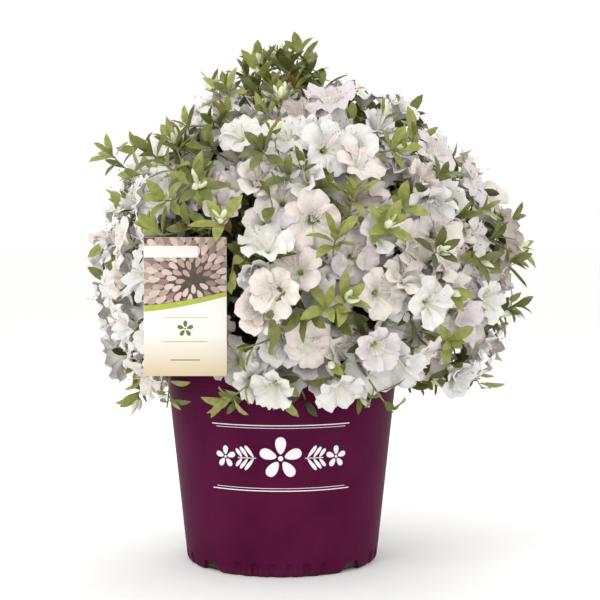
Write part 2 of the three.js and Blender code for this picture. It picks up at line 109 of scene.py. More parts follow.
# %% Lamps and room light
LAMPS = [
    # place in metres, size in metres, power in watts, colour
    ("key", (-1.2, -1.9, 2.2), 1.0, 22, (1, 0.985, 0.96)),
    ("front", (0.6, -2.6, 0.9), 1.2, 9, (1, 0.99, 0.98)),
    ("back", (0.6, 1.9, 2.2), 1.6, 16, (1, 1, 1)),
]
LAMPS_AIM = Vector((0, 0, 0.3))
for name, place, size, power, colour in LAMPS:
    lamp = link(name, bpy.data.lights.new(name, "AREA"))
    lamp.data.size = size
    lamp.data.energy = power
    lamp.data.color = colour
    lamp.location = place
    beam = LAMPS_AIM - Vector(place)
    lamp.rotation_euler = beam.to_track_quat("-Z", "Y").to_euler()

room = bpy.context.scene.world or bpy.data.worlds.new("room")
bpy.context.scene.world = room
room.use_nodes = True
room_light = next(n for n in room.node_tree.nodes if n.type == "BACKGROUND")
room_light.inputs["Color"].default_value = (1, 1, 1, 1)
room_light.inputs["Strength"].default_value = 1.0
bpy.context.scene.view_settings.view_transform = "Standard"

# %% [markdown]
# ## Shader maths as Python expressions
# A material is a tree of nodes. `Wire` wraps one socket, so that `1 - mask * 0.4` adds the Math
# nodes that it names, and `Finish.node` adds any other node from its type, its settings and its
# inputs.


# %% Wires and finishes
class Wire:
    """One output socket of a material's nodes."""

    def __init__(self, finish, socket):
        self.finish, self.socket = finish, socket

    def math(self, operation, *values):
        return self.finish.node("ShaderNodeMath", {"operation": operation}, dict(enumerate(values)))

    def __add__(self, other):
        return self.math("ADD", self, other)

    def __mul__(self, other):
        return self.math("MULTIPLY", self, other)

    def __sub__(self, other):
        return self.math("SUBTRACT", self, other)

    def __rsub__(self, other):
        return self.math("SUBTRACT", other, self)

    __radd__, __rmul__ = __add__, __mul__

    def ramp(self, low, high):
        """A straight rise from 0 at `low` to 1 at `high`, which may be the smaller of the two."""
        inputs = {"Value": self, "From Min": low, "From Max": high}
        return self.finish.node("ShaderNodeMapRange", {"clamp": True}, inputs)


class Finish:
    """A Principled material in the making."""

    def __init__(self, name, **fixed):
        self.material = bpy.data.materials.new(name)
        self.material.use_nodes = True
        self.tree = self.material.node_tree
        self.shader = next(n for n in self.tree.nodes if n.type == "BSDF_PRINCIPLED")
        self.place = self.node("ShaderNodeTexCoord", output="Object")
        for socket, value in fixed.items():
            self.put(socket.replace("_", " ").title().replace("Ior", "IOR"), value)

    def node(self, kind, settings=None, inputs=None, output=0):
        made = self.tree.nodes.new(kind)
        for key, value in (settings or {}).items():
            setattr(made, key, value)
        for key, value in (inputs or {}).items():
            if isinstance(value, Wire):
                self.tree.links.new(value.socket, made.inputs[key])
            else:
                made.inputs[key].default_value = value
        return Wire(self, made.outputs[output])

    def put(self, socket, value):
        if isinstance(value, Wire):
            self.tree.links.new(value.socket, self.shader.inputs[socket])
        else:
            self.shader.inputs[socket].default_value = value

    def grain(self, size, detail=3, stretch=(1, 1, 1), roughness=0.55):
        """Soft noise, about 0 to 1, in lumps of `size` millimetres, longer where stretched."""
        place = self.node("ShaderNodeMapping", None, {0: self.place, 3: [1 / s for s in stretch]})
        scale = 1 / (size * MM)
        inputs = {"Vector": place, "Scale": scale, "Detail": detail, "Roughness": roughness}
        return self.node("ShaderNodeTexNoise", None, inputs)

    def blend(self, mask, first, second):
        """One colour where the mask is 0 and another where it is 1."""
        inputs = {"Factor": mask, 6: first, 7: second}
        return self.node("ShaderNodeMix", {"data_type": "RGBA"}, inputs, output=2)

    def paint(self, mask, first, second):
        """The colour of the surface, one where the mask is 0 and another where it is 1."""
        self.put("Base Color", self.blend(mask, first, second))

    def bump(self, height, depth):
        """Raises the surface by up to `depth` millimetres where the height is 1."""
        inputs = {"Distance": depth * MM, "Height": height}
        self.put("Normal", self.node("ShaderNodeBump", None, inputs))


def srgb(*levels):
    """A colour as read from a screen, 0 to 255, as linear values for a shader."""
    shares = [level / 255 for level in levels]
    return (*[v / 12.92 if v <= 0.04 else ((v + 0.055) / 1.055) ** 2.4 for v in shares], 1)


# %% [markdown]
# ## From corner lists to pieces
# A piece of the plant is a mesh with its place in its own points. `make_piece` turns corners in
# millimetres into such an object, smooth where faces meet gently and sharp where they don't, and it
# takes the place of the solids it stands for.


# %% Piece maker
SQUARE = ((-1, -1), (1, -1), (1, 1), (-1, 1))  # the signs of a square's corners, in turn


def make_mesh(name, corners, faces, finishes=(), part=None, smooth=True, crease=40):
    mesh = bpy.data.meshes.new(name)
    points = (np.asarray(corners, float) * MM).tolist()
    mesh.from_pydata(points, [], [list(map(int, f)) for f in faces])
    for finish in finishes:
        mesh.materials.append(finish.material)
    if smooth:
        mesh.shade_smooth()
        mesh.set_sharp_from_angle(angle=math.radians(crease))
    if part is not None:
        mesh.attributes.new("part", "INT", "FACE").data.foreach_set("value", part)
    return mesh


def make_piece(name, corners, faces, finishes, slot, replaces=(), smooth=True, crease=40):
    """A finished piece, riding with the plant, that stands for the named solids."""
    mesh = make_mesh(name, corners, faces, finishes, None, smooth, crease)
    settle(link(name, mesh), slot, replaces)


def settle(piece, slot, replaces=()):
    """Puts a finished piece on the plant's body, hides the solids it stands for, and prints its size.
    """
    if replaces:
        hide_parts(*replaces)
    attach(piece, "root")
    triangles = sum(len(p.vertices) - 2 for p in piece.data.polygons)
    print(f"{piece.name}: {triangles} triangles")


class Shells:
    """Gathers closed shells into the corner and face lists of one mesh."""

    def __init__(self):
        self.corners, self.faces, self.count = [], [], 0

    def add(self, corners, faces):
        self.corners.append(np.asarray(corners, float))
        self.faces += [[i + self.count for i in face] for face in faces]
        self.count += len(corners)

    def piece(self, name, finishes, slot, **options):
        make_piece(name, np.concatenate(self.corners), self.faces, finishes, slot, **options)


def grid_faces(rows, columns):
    """Quads of a sheet of rows and columns that closes on itself like a tube."""
    faces = []
    for row in range(0, (rows - 1) * columns, columns):
        for c in range(columns):
            d = (c + 1) % columns
            faces.append([row + c, row + d, row + columns + d, row + columns + c])
    return faces


def applied(piece):
    """The mesh of an object as its modifiers leave it."""
    evaluated = piece.evaluated_get(bpy.context.evaluated_depsgraph_get())
    return bpy.data.meshes.new_from_object(evaluated)


# %% [markdown]
# ## The floor
# A wide pale sheet under the plant.

# %% Floor
FLOOR_REACH = 60000
floor_finish = Finish("floor", roughness=0.9, specular_ior_level=0.1)
floor_finish.paint(floor_finish.grain(60), srgb(255, 255, 254), srgb(252, 252, 251))
floor_finish.bump(floor_finish.grain(3), 0.05)
floor_corners = [(x * FLOOR_REACH, y * FLOOR_REACH, 0) for x, y in SQUARE]
floor = link("floor", make_mesh("floor", floor_corners, [[0, 1, 2, 3]], [floor_finish]))

# %% [markdown]
# ## The pot
# A blow-moulded nursery pot: a thin tapered wall, a rolled lip, short arched flutes pressed into
# the foot in four groups, and four drain openings between the groups. The wall is one closed sheet
# turned round the axis in rows, so the flutes can be pressed in by moving its points. The wall is
# thicker behind them, so that none of them breaks through. The drains are cut by a Boolean
# modifier, because they do go right through.

# %% Pot sizes
POT = {
    "height": 235,
    "lip": 12,
    "lip_radius": 144,
    "top_radius": 139.8,
    "base_radius": 116.2,
    "wall": 2.4,
    "foot_wall": 4.8,
    "floor": 3,
}
FOOT_ROUND, LIP_UNDER, LIP_TOP = 6, 1.2, 2.2  # radii of the rounded edges
FLUTE = {"width": 9.4, "height": 17, "depth": 2.3, "pitch": 10, "per_group": 6, "edge": 1.5}
DRAIN = {"top": 20, "bottom": 32, "height": 12, "reach": 12, "thickness": 20}
POT_COLUMNS = 480
under_lip = POT["height"] - POT["lip"]


def wall_radius(z):
    return POT["base_radius"] + (POT["top_radius"] - POT["base_radius"]) * z / under_lip


# %% Pot profile, from the middle of the underside, up the wall, over the lip and down inside
def rounded(centre, radius, first, last, steps=5):
    turns = np.radians(np.linspace(first, last, steps + 1))
    return [(centre[0] + radius * math.cos(a), centre[1] + radius * math.sin(a)) for a in turns]


profile = [(0, 0), (60, 0), (100, 0)]
profile += rounded((wall_radius(FOOT_ROUND) - FOOT_ROUND - 0.2, FOOT_ROUND), FOOT_ROUND, -90, 0)
fluted_rows, plain_rows = np.arange(FOOT_ROUND + 1, 22, 1.0), np.arange(24, under_lip - 1, 26)
profile += [(wall_radius(z), z) for z in [*fluted_rows, *plain_rows, under_lip - 0.6]]
profile += rounded((POT["lip_radius"] - LIP_UNDER, under_lip + LIP_UNDER), LIP_UNDER, -90, 0, 3)
profile += rounded((POT["lip_radius"] - LIP_TOP, POT["height"] - LIP_TOP), LIP_TOP, 0, 90, 4)
inner = [(wall_radius(z) - POT["wall"], z) for z in (POT["height"] - LIP_UNDER, 130, 34)]
inner += [(wall_radius(z) - POT["foot_wall"], z) for z in (25, 7)]
profile += [(inner[0][0] + LIP_UNDER, POT["height"]), *inner]
profile += [(inner[-1][0] - 3.4, POT["floor"]), (0, POT["floor"])]

turns = np.linspace(0, 2 * math.pi, POT_COLUMNS, endpoint=False)
pot_corners = np.array([(r * math.cos(a), r * math.sin(a), z) for r, z in profile for a in turns])
outer_rows = len(profile) - len(inner) - 3


# %% Press the flutes into the foot
def flute_depth(azimuth, z):
    """How deep the wall is pressed in at a point near the foot."""
    quarter = (math.degrees(azimuth) + 45) % 90 - 45
    last = FLUTE["per_group"] - 1
    number = min(max(round(quarter / FLUTE["pitch"] + last / 2), 0), last)
    aside = math.radians(quarter - (number - last / 2) * FLUTE["pitch"]) * wall_radius(z)
    half = FLUTE["width"] / 2
    above = max(0.0, z - (FLUTE["height"] - half))
    inside = (half - math.hypot(aside, above)) / FLUTE["edge"]
    step = min(max(inside, 0.0), 1.0)
    return FLUTE["depth"] * step * step * (3 - 2 * step)


for i in range(3 * POT_COLUMNS, outer_rows * POT_COLUMNS):
    x, y, z = pot_corners[i]
    if z < FLUTE["height"] + 2:
        press = flute_depth(math.atan2(y, x), z) * min(1.0, 0.75 + z / 8)
        pot_corners[i, :2] *= 1 - press / math.hypot(x, y)

# The rows at both ends are points on the axis, so each closes on one corner.
rows = len(profile)
pot_faces = grid_faces(rows, POT_COLUMNS)
remap = np.arange(rows * POT_COLUMNS)
remap[:POT_COLUMNS] = 0
remap[-POT_COLUMNS:] = (rows - 1) * POT_COLUMNS
pot_faces = [list(dict.fromkeys(remap[f])) for f in pot_faces]
used, packed = np.unique([i for f in pot_faces for i in f], return_inverse=True)
cursor, pot_shell_faces = 0, []
for f in pot_faces:
    pot_shell_faces.append(packed[cursor : cursor + len(f)].tolist())
    cursor += len(f)
print("pot rows", rows, "faces", len(pot_shell_faces))

# %% Pot finish: satin plum plastic with faint flow lines, scuffs and a little dust at the foot
pot_finish = Finish("plum_plastic", specular_ior_level=0.02)
clouds = pot_finish.grain(60, 2)
orange_peel = pot_finish.grain(1.6, 2)
streaks = pot_finish.grain(5, 3, stretch=(1, 1, 14))
scuffs = pot_finish.grain(9, 6, stretch=(1.5, 1.5, 0.6), roughness=0.75).ramp(0.63, 0.74)
pot_height = pot_finish.node("ShaderNodeSeparateXYZ", None, {0: pot_finish.place}, output=2)
dust = pot_height.ramp(0.012, 0.0) * streaks.ramp(0.35, 0.8)
plum = pot_finish.blend(clouds.ramp(0.3, 0.7), srgb(73, 14, 47), srgb(84, 22, 56))
plum = pot_finish.blend(scuffs * 0.2, plum, srgb(112, 54, 84))
pot_finish.paint(dust * 0.25, plum, srgb(110, 84, 88))
pot_finish.put("Roughness", 0.4 + clouds * 0.1 + scuffs * 0.2 + dust * 0.3)
pot_finish.bump(orange_peel + streaks * 0.5, 0.05)

# %% Cut the drains and finish the pot
pot_mesh = make_mesh("pot_shell", pot_corners[used], pot_shell_faces, [pot_finish])
pot = link("pot_shell", pot_mesh)
near = POT["base_radius"] - DRAIN["reach"]
far = near + DRAIN["thickness"] + DRAIN["reach"]
half_foot, half_top = DRAIN["bottom"] / 2, DRAIN["top"] / 2
outline = [(-half_foot, -1), (half_foot, -1)]
outline += [(half_top, DRAIN["height"]), (-half_top, DRAIN["height"])]
block_faces = [[0, 3, 2, 1], [4, 5, 6, 7], [0, 1, 5, 4], [1, 2, 6, 5], [2, 3, 7, 6], [3, 0, 4, 7]]
cutters = Shells()
for turn in np.radians([45, 135, 225, 315]):
    out = np.array((math.cos(turn), math.sin(turn), 0))
    side = np.array((-math.sin(turn), math.cos(turn), 0))
    block = [out * depth + side * w + (0, 0, h) for depth in (near, far) for w, h in outline]
    cutters.add(block, block_faces)
drains = make_mesh("drains", np.concatenate(cutters.corners), cutters.faces, smooth=False)
cutter = link("drains", drains)
cut = pot.modifiers.new("drains", "BOOLEAN")
cut.operation, cut.object, cut.solver = "DIFFERENCE", cutter, "EXACT"
cut_mesh = applied(pot)
pot.modifiers.clear()
pot.data = cut_mesh
pot.data.shade_smooth()
pot.data.set_sharp_from_angle(angle=math.radians(38))
bpy.data.objects.remove(cutter)
settle(pot, "pot_plastic", ["pot"])

# %% [markdown]
# ## The printed ornament
# A pale printed band runs round the front of the pot: a five-petalled rosette between leafy
# sprigs, with a fine line above and below. Each motif is a thin raised plate wrapped on the wall,
# so that it stays crisp in any light. `wrap` takes a place along the wall and a height to a point
# on the plastic.


# %% Plates wrapped on a surface
PROUD, SUNK = 0.22, 0.25  # how far a plate stands out of the plastic and reaches into it


def wrap(u, v, proud):
    radius = wall_radius(v) + proud
    turn = -math.pi / 2 + u / wall_radius(v)
    return (radius * math.cos(turn), radius * math.sin(turn), v)


def plate(shells, outline, centre, place, proud=PROUD, sunk=SUNK, rings=3):
    """A thin plate with this outline round a centre, whose points `place` puts on the surface."""
    outline = np.asarray(outline, float)
    centre = np.asarray(centre, float)
    count = len(outline)
    flat = [centre + (outline - centre) * k / rings for k in range(rings, 0, -1)]
    top = [place(u, v, proud) for ring in flat for u, v in ring] + [place(*centre, proud)]
    bottom = [place(u, v, -sunk) for ring in flat for u, v in ring] + [place(*centre, -sunk)]
    size = len(top)
    inner = (rings - 1) * count
    faces = grid_faces(rings, count)
    faces += [[inner + i, inner + (i + 1) % count, size - 1] for i in range(count)]
    under = [[i + size for i in reversed(f)] for f in faces]
    walls = [[(i + 1) % count, i, i + size, (i + 1) % count + size] for i in range(count)]
    shells.add(top + bottom, faces + under + walls)


def from_point(centre, turn, run, aside=0.0):
    """A flat spot that lies a run away from a centre along a turn, and some way aside."""
    u = centre[0] + math.cos(turn) * run - math.sin(turn) * aside
    return u, centre[1] + math.sin(turn) * run + math.cos(turn) * aside


def drop(start, length, width, turn, points=18):
    """The outline and the middle of a petal or leaf, a drop that runs from a start along a turn."""
    outline = []
    for a in np.linspace(0, 2 * math.pi, points, endpoint=False):
        share = (1 - math.cos(a)) / 2
        aside = math.sin(a) * width / 2 * (0.55 + 0.45 * share)
        outline.append(from_point(start, turn, share * length, aside))
    return outline, from_point(start, turn, length / 2)


def rosette(shells, centre, radius, place, **sizes):
    """Five petals round a small disc."""
    for turn in np.radians(90 + 72 * np.arange(5)):
        start = from_point(centre, turn, radius * 0.2)
        plate(shells, *drop(start, radius * 0.8, radius * 0.62, turn), place, **sizes)
    turns = np.linspace(0, 2 * math.pi, 12, endpoint=False)
    disc = [from_point(centre, turn, radius * 0.12) for turn in turns]
    plate(shells, disc, centre, place, rings=1, **sizes)


def band(shells, reach, v, width, place, middle=0, step=2.5, proud=PROUD, sunk=SUNK):
    """A fine level line that reaches as far to both sides of a middle, as one strip of plates."""
    count = max(2, int(2 * reach / step))
    half = width / 2
    section = [(-half, proud), (half, proud), (half, -sunk), (-half, -sunk)]
    us = np.linspace(middle - reach, middle + reach, count)
    corners = [place(u, v + dv, height) for u in us for dv, height in section]
    faces = [[a, d, c, b] for a, b, c, d in grid_faces(count, 4)]
    end = 4 * count - 1
    shells.add(corners, faces + [[0, 1, 2, 3], [end, end - 1, end - 2, end - 3]])


# %% Ornament
ORNAMENT = {
    "middle": 141,
    # height, reach and width of each line; place along the wall and size of what lies between
    "lines": [(103, 84, 1.1), (106, 78, 0.6), (176, 78, 0.6), (179, 84, 1.1)],
    "rosettes": [(0, 25), (-66, 13), (66, 13)],
    "leaves": [(31, 17), (38, 15), (45, 12)],
}
print_finish = Finish("pale_print", roughness=0.5, specular_ior_level=0.4)
wear = print_finish.grain(0.8, 4, roughness=0.7).ramp(0.62, 0.72)
print_finish.paint(wear * 0.5, srgb(238, 231, 236), srgb(176, 140, 162))
ornament = Shells()
for v, reach, width in ORNAMENT["lines"]:
    band(ornament, reach, v, width, wrap)
for u, radius in ORNAMENT["rosettes"]:
    rosette(ornament, (u, ORNAMENT["middle"]), radius, wrap)
for side in (-1, 1):
    band(ornament, 11, ORNAMENT["middle"], 0.9, wrap, middle=side * 39)
    for u, tall in ORNAMENT["leaves"]:
        for up in (-1, 1):
            turn = math.radians(up * (90 - side * 38))
            start = (side * u, ORNAMENT["middle"] + up * 0.8)
            plate(ornament, *drop(start, tall, 5.2, turn), wrap)
ornament.piece("pot_ornament", [print_finish], "pot_plastic", smooth=False)

# %% [markdown]
# ## Potting mix
# The pot is filled to a little below its lip. The mix itself is one turned body with a lumpy top,
# and Geometry Nodes strew bark chips over it, turned and sized at random from a fixed seed.

# %% Potting mix body
SOIL = {"top": 216, "edge": 211, "flat": 45, "low": 3.4}
SOIL_ROWS, SOIL_COLUMNS = 26, 96


def soil_height(x, y):
    r = math.hypot(x, y)
    level = SOIL["top"] + (SOIL["edge"] - SOIL["top"]) * max(0.0, r - SOIL["flat"]) / 90
    lumps, crumbs = noise.noise(Vector((x, y, 0)) / 14), noise.noise(Vector((x, y, 9)) / 5)
    return level + 1.6 * lumps + 0.9 * crumbs


soil_finish = Finish("potting_mix", roughness=0.95)
soil_grain = soil_finish.grain(4, 6, roughness=0.7)
soil_finish.paint(soil_grain.ramp(0.35, 0.7), srgb(36, 25, 18), srgb(84, 62, 46))
soil_finish.bump(soil_grain, 1.2)
edge_radius = wall_radius(SOIL["edge"]) - POT["wall"] - 0.3
rings = [(edge_radius * k / SOIL_ROWS) for k in range(1, SOIL_ROWS + 1)]
turns = np.linspace(0, 2 * math.pi, SOIL_COLUMNS, endpoint=False)
flat_spots = [(0, 0)] + [(r * math.cos(a), r * math.sin(a)) for r in rings for a in turns]
soil_corners = [(x, y, soil_height(x, y)) for x, y in flat_spots]
low_radius = wall_radius(SOIL["low"]) - POT["foot_wall"] - 0.3
soil_corners += [(low_radius * math.cos(a), low_radius * math.sin(a), SOIL["low"]) for a in turns]
soil_faces = [[0, 1 + c, 1 + (c + 1) % SOIL_COLUMNS] for c in range(SOIL_COLUMNS)]
soil_faces += [[i + 1 for i in reversed(f)] for f in grid_faces(SOIL_ROWS + 1, SOIL_COLUMNS)]
soil_faces += [[1 + SOIL_ROWS * SOIL_COLUMNS + c for c in reversed(range(SOIL_COLUMNS))]]
make_piece(
    "potting_mix_body", soil_corners, soil_faces, [soil_finish], "potting_mix", ["root_ball"]
)

# %% [markdown]
# ## A planting tree
# Chips, leaves, blooms and buds all repeat a few shapes many times, so one Geometry Nodes tree
# plants them all. It reads a cloud of points, each with its turn, size and the number of its
# shape, puts an instance of that shape there and makes the instances real. The faces of a shape
# carry a number called part, and each part gets a finish of its own.


# %% Build the planting tree
def planting_tree():
    tree = bpy.data.node_groups.new("planting", "GeometryNodeTree")
    sockets = [
        ("Spots", "NodeSocketGeometry"),
        ("Shapes", "NodeSocketCollection"),
        ("Unevenness", "NodeSocketFloat"),
        ("Seed", "NodeSocketInt"),
        ("Finish 0", "NodeSocketMaterial"),
        ("Finish 1", "NodeSocketMaterial"),
        ("Finish 2", "NodeSocketMaterial"),
    ]
    for label, kind in sockets:
        tree.interface.new_socket(label, in_out="INPUT", socket_type=kind)
    tree.interface.new_socket("Plants", in_out="OUTPUT", socket_type="NodeSocketGeometry")

    def node(kind, settings=None, inputs=None):
        made = tree.nodes.new(kind)
        for key, value in (settings or {}).items():
            setattr(made, key, value)
        for key, value in (inputs or {}).items():
            if isinstance(value, bpy.types.NodeSocket):
                tree.links.new(value, made.inputs[key])
            else:
                made.inputs[key].default_value = value
        return made

    given = node("NodeGroupInput").outputs

    def attribute(label, kind):
        found = node("GeometryNodeInputNamedAttribute", {"data_type": kind}, {"Name": label})
        return next(s for s in found.outputs if s.enabled and s.name == "Attribute")

    def one_and(operation):
        inputs = {0: 1.0, 1: given["Unevenness"]}
        return node("ShaderNodeMath", {"operation": operation}, inputs).outputs[0]

    def dressed(made, finish, **inputs):
        inputs = {"Geometry": made.outputs[0], "Material": given[finish], **inputs}
        return node("GeometryNodeSetMaterial", None, inputs)

    shapes = node(
        "GeometryNodeCollectionInfo",
        None,
        {"Collection": given["Shapes"], "Separate Children": True, "Reset Children": True},
    )
    uneven = node(
        "FunctionNodeRandomValue",
        {"data_type": "FLOAT"},
        {2: one_and("SUBTRACT"), 3: one_and("ADD"), "Seed": given["Seed"]},
    )
    size = node(
        "ShaderNodeVectorMath",
        {"operation": "SCALE"},
        {0: attribute("size", "FLOAT_VECTOR"), "Scale": uneven.outputs[1]},
    )
    planted = node(
        "GeometryNodeInstanceOnPoints",
        None,
        {
            "Points": given["Spots"],
            "Instance": shapes.outputs[0],
            "Pick Instance": True,
            "Instance Index": attribute("shape", "INT"),
            "Rotation": attribute("turn", "QUATERNION"),
            "Scale": size.outputs[0],
        },
    )
    made = node("GeometryNodeRealizeInstances", None, {0: planted.outputs[0]})
    made = dressed(made, "Finish 0")
    for number in (1, 2):
        chosen = node(
            "FunctionNodeCompare",
            {"data_type": "INT", "operation": "EQUAL"},
            {2: attribute("part", "INT"), 3: number},
        )
        made = dressed(made, f"Finish {number}", Selection=chosen.outputs[0])
    node("NodeGroupOutput", None, {0: made.outputs[0]})
    return tree


PLANTING = planting_tree()
PLANTING_INPUTS = {item.name: item.identifier for item in PLANTING.interface.items_tree}
print("planting tree", len(PLANTING.nodes), "nodes")


# %% Plant a cloud of spots
def plant(
    name,
    spots,
    shapes,
    finishes,
    slot="foliage_and_blossom",
    replaces=MASS_NODES,
    unevenness=0.0,
    seed=1,
):
    """One piece with a copy of a shape at each spot, which is (place, frame, size, shape)."""
    cloud = bpy.data.meshes.new(name)
    cloud.from_pydata([tuple(np.asarray(s[0]) * MM) for s in spots], [], [])
    turns = np.array([Matrix(s[1].tolist()).to_quaternion()[:] for s in spots])
    sizes = np.array([np.broadcast_to(s[2], 3) for s in spots], float)
    numbers = [s[3] % len(shapes) for s in spots]
    for label, kind, field, values in [
        ("turn", "QUATERNION", "value", turns.ravel()),
        ("size", "FLOAT_VECTOR", "vector", sizes.ravel()),
        ("shape", "INT", "value", numbers),
    ]:
        cloud.attributes.new(label, kind, "POINT").data.foreach_set(field, values)
    piece = link(name, cloud)
    shelf = bpy.data.collections.new(f"{name}_shapes")
    for mesh in shapes:
        shelf.objects.link(bpy.data.objects.new(mesh.name, mesh))
    modifier = piece.modifiers.new("planting", "NODES")
    modifier.node_group = PLANTING
    values = {"Shapes": shelf, "Unevenness": unevenness, "Seed": seed}
    finishes = list(finishes) + [finishes[0]] * (3 - len(finishes))
    values.update({f"Finish {i}": finish.material for i, finish in enumerate(finishes)})
    for label, value in values.items():
        modifier[PLANTING_INPUTS[label]] = value
    made = applied(piece)
    piece.modifiers.clear()
    piece.data = made
    made.name = name
    for holder in list(shelf.objects):
        bpy.data.objects.remove(holder)
    bpy.data.collections.remove(shelf)
    settle(piece, slot, replaces)


def frame_along(along, up):
    """A rotation whose third axis runs along, with its second as near to `up` as it can be."""
    along = along / np.linalg.norm(along)
    side = np.cross(up, along)
    side /= np.linalg.norm(side)
    return np.column_stack([side, np.cross(along, side), along])


# %% Bark chips
CHIPS = {"count": 900, "shapes": 6, "size": 5.5, "clear_of_trunk": 25}
GOLDEN = math.radians(137.508)  # a turn that spreads things evenly however many there are
rng = np.random.default_rng(7)
chip_shapes = []
for k in range(CHIPS["shapes"]):
    lump = bmesh.new()
    bmesh.ops.create_icosphere(lump, subdivisions=1, radius=1)
    for v in lump.verts:
        v.co *= 1 + 0.35 * noise.noise(v.co * 1.7 + Vector((k * 3.1, 0, 0)))
        v.co = Vector((v.co.x, v.co.y * 0.55, v.co.z * 0.32)) * MM
    mesh = bpy.data.meshes.new(f"chip_{k}")
    lump.to_mesh(mesh)
    lump.free()
    chip_shapes.append(mesh)
chip_finish = Finish("bark_chips", roughness=0.9)
patches = chip_finish.grain(12, 2)
chip_finish.paint(patches.ramp(0.35, 0.65), srgb(58, 40, 29), srgb(120, 86, 60))
chip_finish.bump(chip_finish.grain(2.5, 4), 0.5)
chip_spots = []
for k in range(CHIPS["count"]):
    r, a = (edge_radius - 5) * math.sqrt((k + 0.5) / CHIPS["count"]), k * GOLDEN
    x, y = r * math.cos(a) + rng.normal(0, 1.5), r * math.sin(a) + rng.normal(0, 1.5)
    if math.hypot(x, y) < CHIPS["clear_of_trunk"]:
        continue
    tilt = np.array((rng.normal(0, 0.3), rng.normal(0, 0.3), 1.0))
    turn = rng.uniform(0, 2 * math.pi)
    facing = frame_along(tilt, np.array((math.cos(turn), math.sin(turn), 0)))
    size = CHIPS["size"] * rng.uniform(0.5, 1.25)
    chip_spots.append(((x, y, soil_height(x, y) + 0.6), facing, size, k))
plant("potting_mix_chips", chip_spots, chip_shapes, [chip_finish], "potting_mix", (), 0.1, 3)

# %% [markdown]
# ## The rule that the plant grows by
# The crown is an ellipsoid cut into twelve cells, one for each mass of foliage. A bough runs from
# the trunk to each cell, a stem goes on into it, and twigs branch from the stem to spots that are
# tried in a spiral from the walls of the cell inwards. The rule is the one that shaped the solids,
# with the same numbers and the same seeds, so twigs and blooms come where the solids have them.

# %% Crown sizes
CENTRE, REACH = np.array((27.0, 0.0, 337.0)), np.array((272.0, 262.0, 300.0))
# How much the top is flattened, the height of the crown's foot, and how far out towards its surface
# the stems start and the cells have their middles.
FLAT_TOP, LOWEST, CORE, SITE = 0.12, 198, 0.5, 0.78
# The gap between cells, how far a cell spreads, and how many spots are tried in it.
CELL_GAP, SPREAD, SPOTS = 0.4, 150, 140
RINGS = [
    # name, count, elevation and first turn in degrees, share of the twigs that bloom
    ("low", 5, -8, 8, 0.95),
    ("mid", 4, 24, -28, 0.9),
    ("high", 3, 60, 22, 0.75),
]
FORKS = {
    # height on the trunk, distance from its axis, how steeply the bough climbs, radius
    "low": (9, 5, 0.9, 4.2),
    "mid": (22, 5, 0.9, 4.2),
    "high": (36, 9, 3, 3.9),
}
SPRIGS = [np.array((22.0, -8, 612)), np.array((-205.0, -20, 492))]
# How far out a stem ends, and the part of the stem that twigs leave from.
STEM_END, TWIG_LOW, TWIG_HIGH = 0.69, 0.25, 0.95
BLOOM = {
    "radius": 31,
    "petals": 5,
    "depth": 16,
    "tilt": 0.9,
    "spacing": 56,
    "margin": 24,
    "low": 0.83,
    "high": 0.92,
}
# Corners of a petal: share of the turn to the next petal, share of the bloom's radius, lift.
PETAL_CORNERS = [(-0.5, 0.68, 0), (-0.22, 1, 3), (0.22, 1, 3)]
SHOOT = {"margin": 8, "spacing": 47, "low": 0.85, "high": 0.93}
TRUNK = {"foot": 216.3, "height": 40, "lean": 5}
LABEL = {
    "width": 90,
    "height": 151,
    "thickness": 1,
    "corner": 1.2,
    "x": -102.7,
    "y": -190,
    "bottom": 241,
    "stake_y": -72,
}


# %% Vectors, curves and seeded draws
def seeded(seed):
    """Draws from 0 to 1 that come out the same for the same seed, here and in the solids."""
    state = (seed * 2654435761 + 12345) & 0xFFFFFFFF

    def draw():
        nonlocal state
        state = (state * 1664525 + 1013904223) & 0xFFFFFFFF
        return state / 2**32

    return draw


def mix(a, b, t):
    return a + (b - a) * t


def unit(v):
    return v / np.linalg.norm(v)


def across(direction):
    """Two ways at right angles to a direction and to each other."""
    aid = np.array((1.0, 0, 0)) if abs(direction[2]) > 0.9 else np.array((0, 0, 1.0))
    right = unit(np.cross(aid, direction))
    return right, unit(np.cross(direction, right))


def around(direction, angle):
    """The way at right angles to a direction that an angle about it gives."""
    right, up = across(direction)
    return right * math.cos(angle) + up * math.sin(angle)


def evenly(points, count):
    """That many points evenly spaced along a line of points."""
    points = np.asarray(points, float)
    run = np.concatenate([[0], np.cumsum(np.linalg.norm(np.diff(points, axis=0), axis=1))])
    at = np.linspace(0, run[-1], count)
    return np.column_stack([np.interp(at, run, points[:, i]) for i in range(3)])


def bezier(a, b, c, d, count):
    t = np.linspace(0, 1, count)[:, None]
    return a * (1 - t) ** 3 + 3 * b * t * (1 - t) ** 2 + 3 * c * t**2 * (1 - t) + d * t**3


def through(points, count):
    """A centripetal Catmull-Rom curve through points, as evenly spaced points."""
    points = np.asarray(points, float)
    padded = np.vstack([2 * points[0] - points[1], points, 2 * points[-1] - points[-2]])
    fine = []
    for p0, p1, p2, p3 in zip(padded, padded[1:], padded[2:], padded[3:]):
        d0, d1, d2 = (math.sqrt(np.linalg.norm(b - a)) for a, b in ((p0, p1), (p1, p2), (p2, p3)))
        leave = ((p1 - p0) / d0 - (p2 - p0) / (d0 + d1) + (p2 - p1) / d1) * d1
        arrive = ((p2 - p1) / d1 - (p3 - p1) / (d1 + d2) + (p3 - p2) / d2) * d1
        squared, cubed = 3 * (p2 - p1) - 2 * leave - arrive, 2 * (p1 - p2) + leave + arrive
        for t in np.linspace(0, 1, 40, endpoint=False):
            fine.append(p1 + leave * t + squared * t**2 + cubed * t**3)
    return evenly([*fine, points[-1]], count)


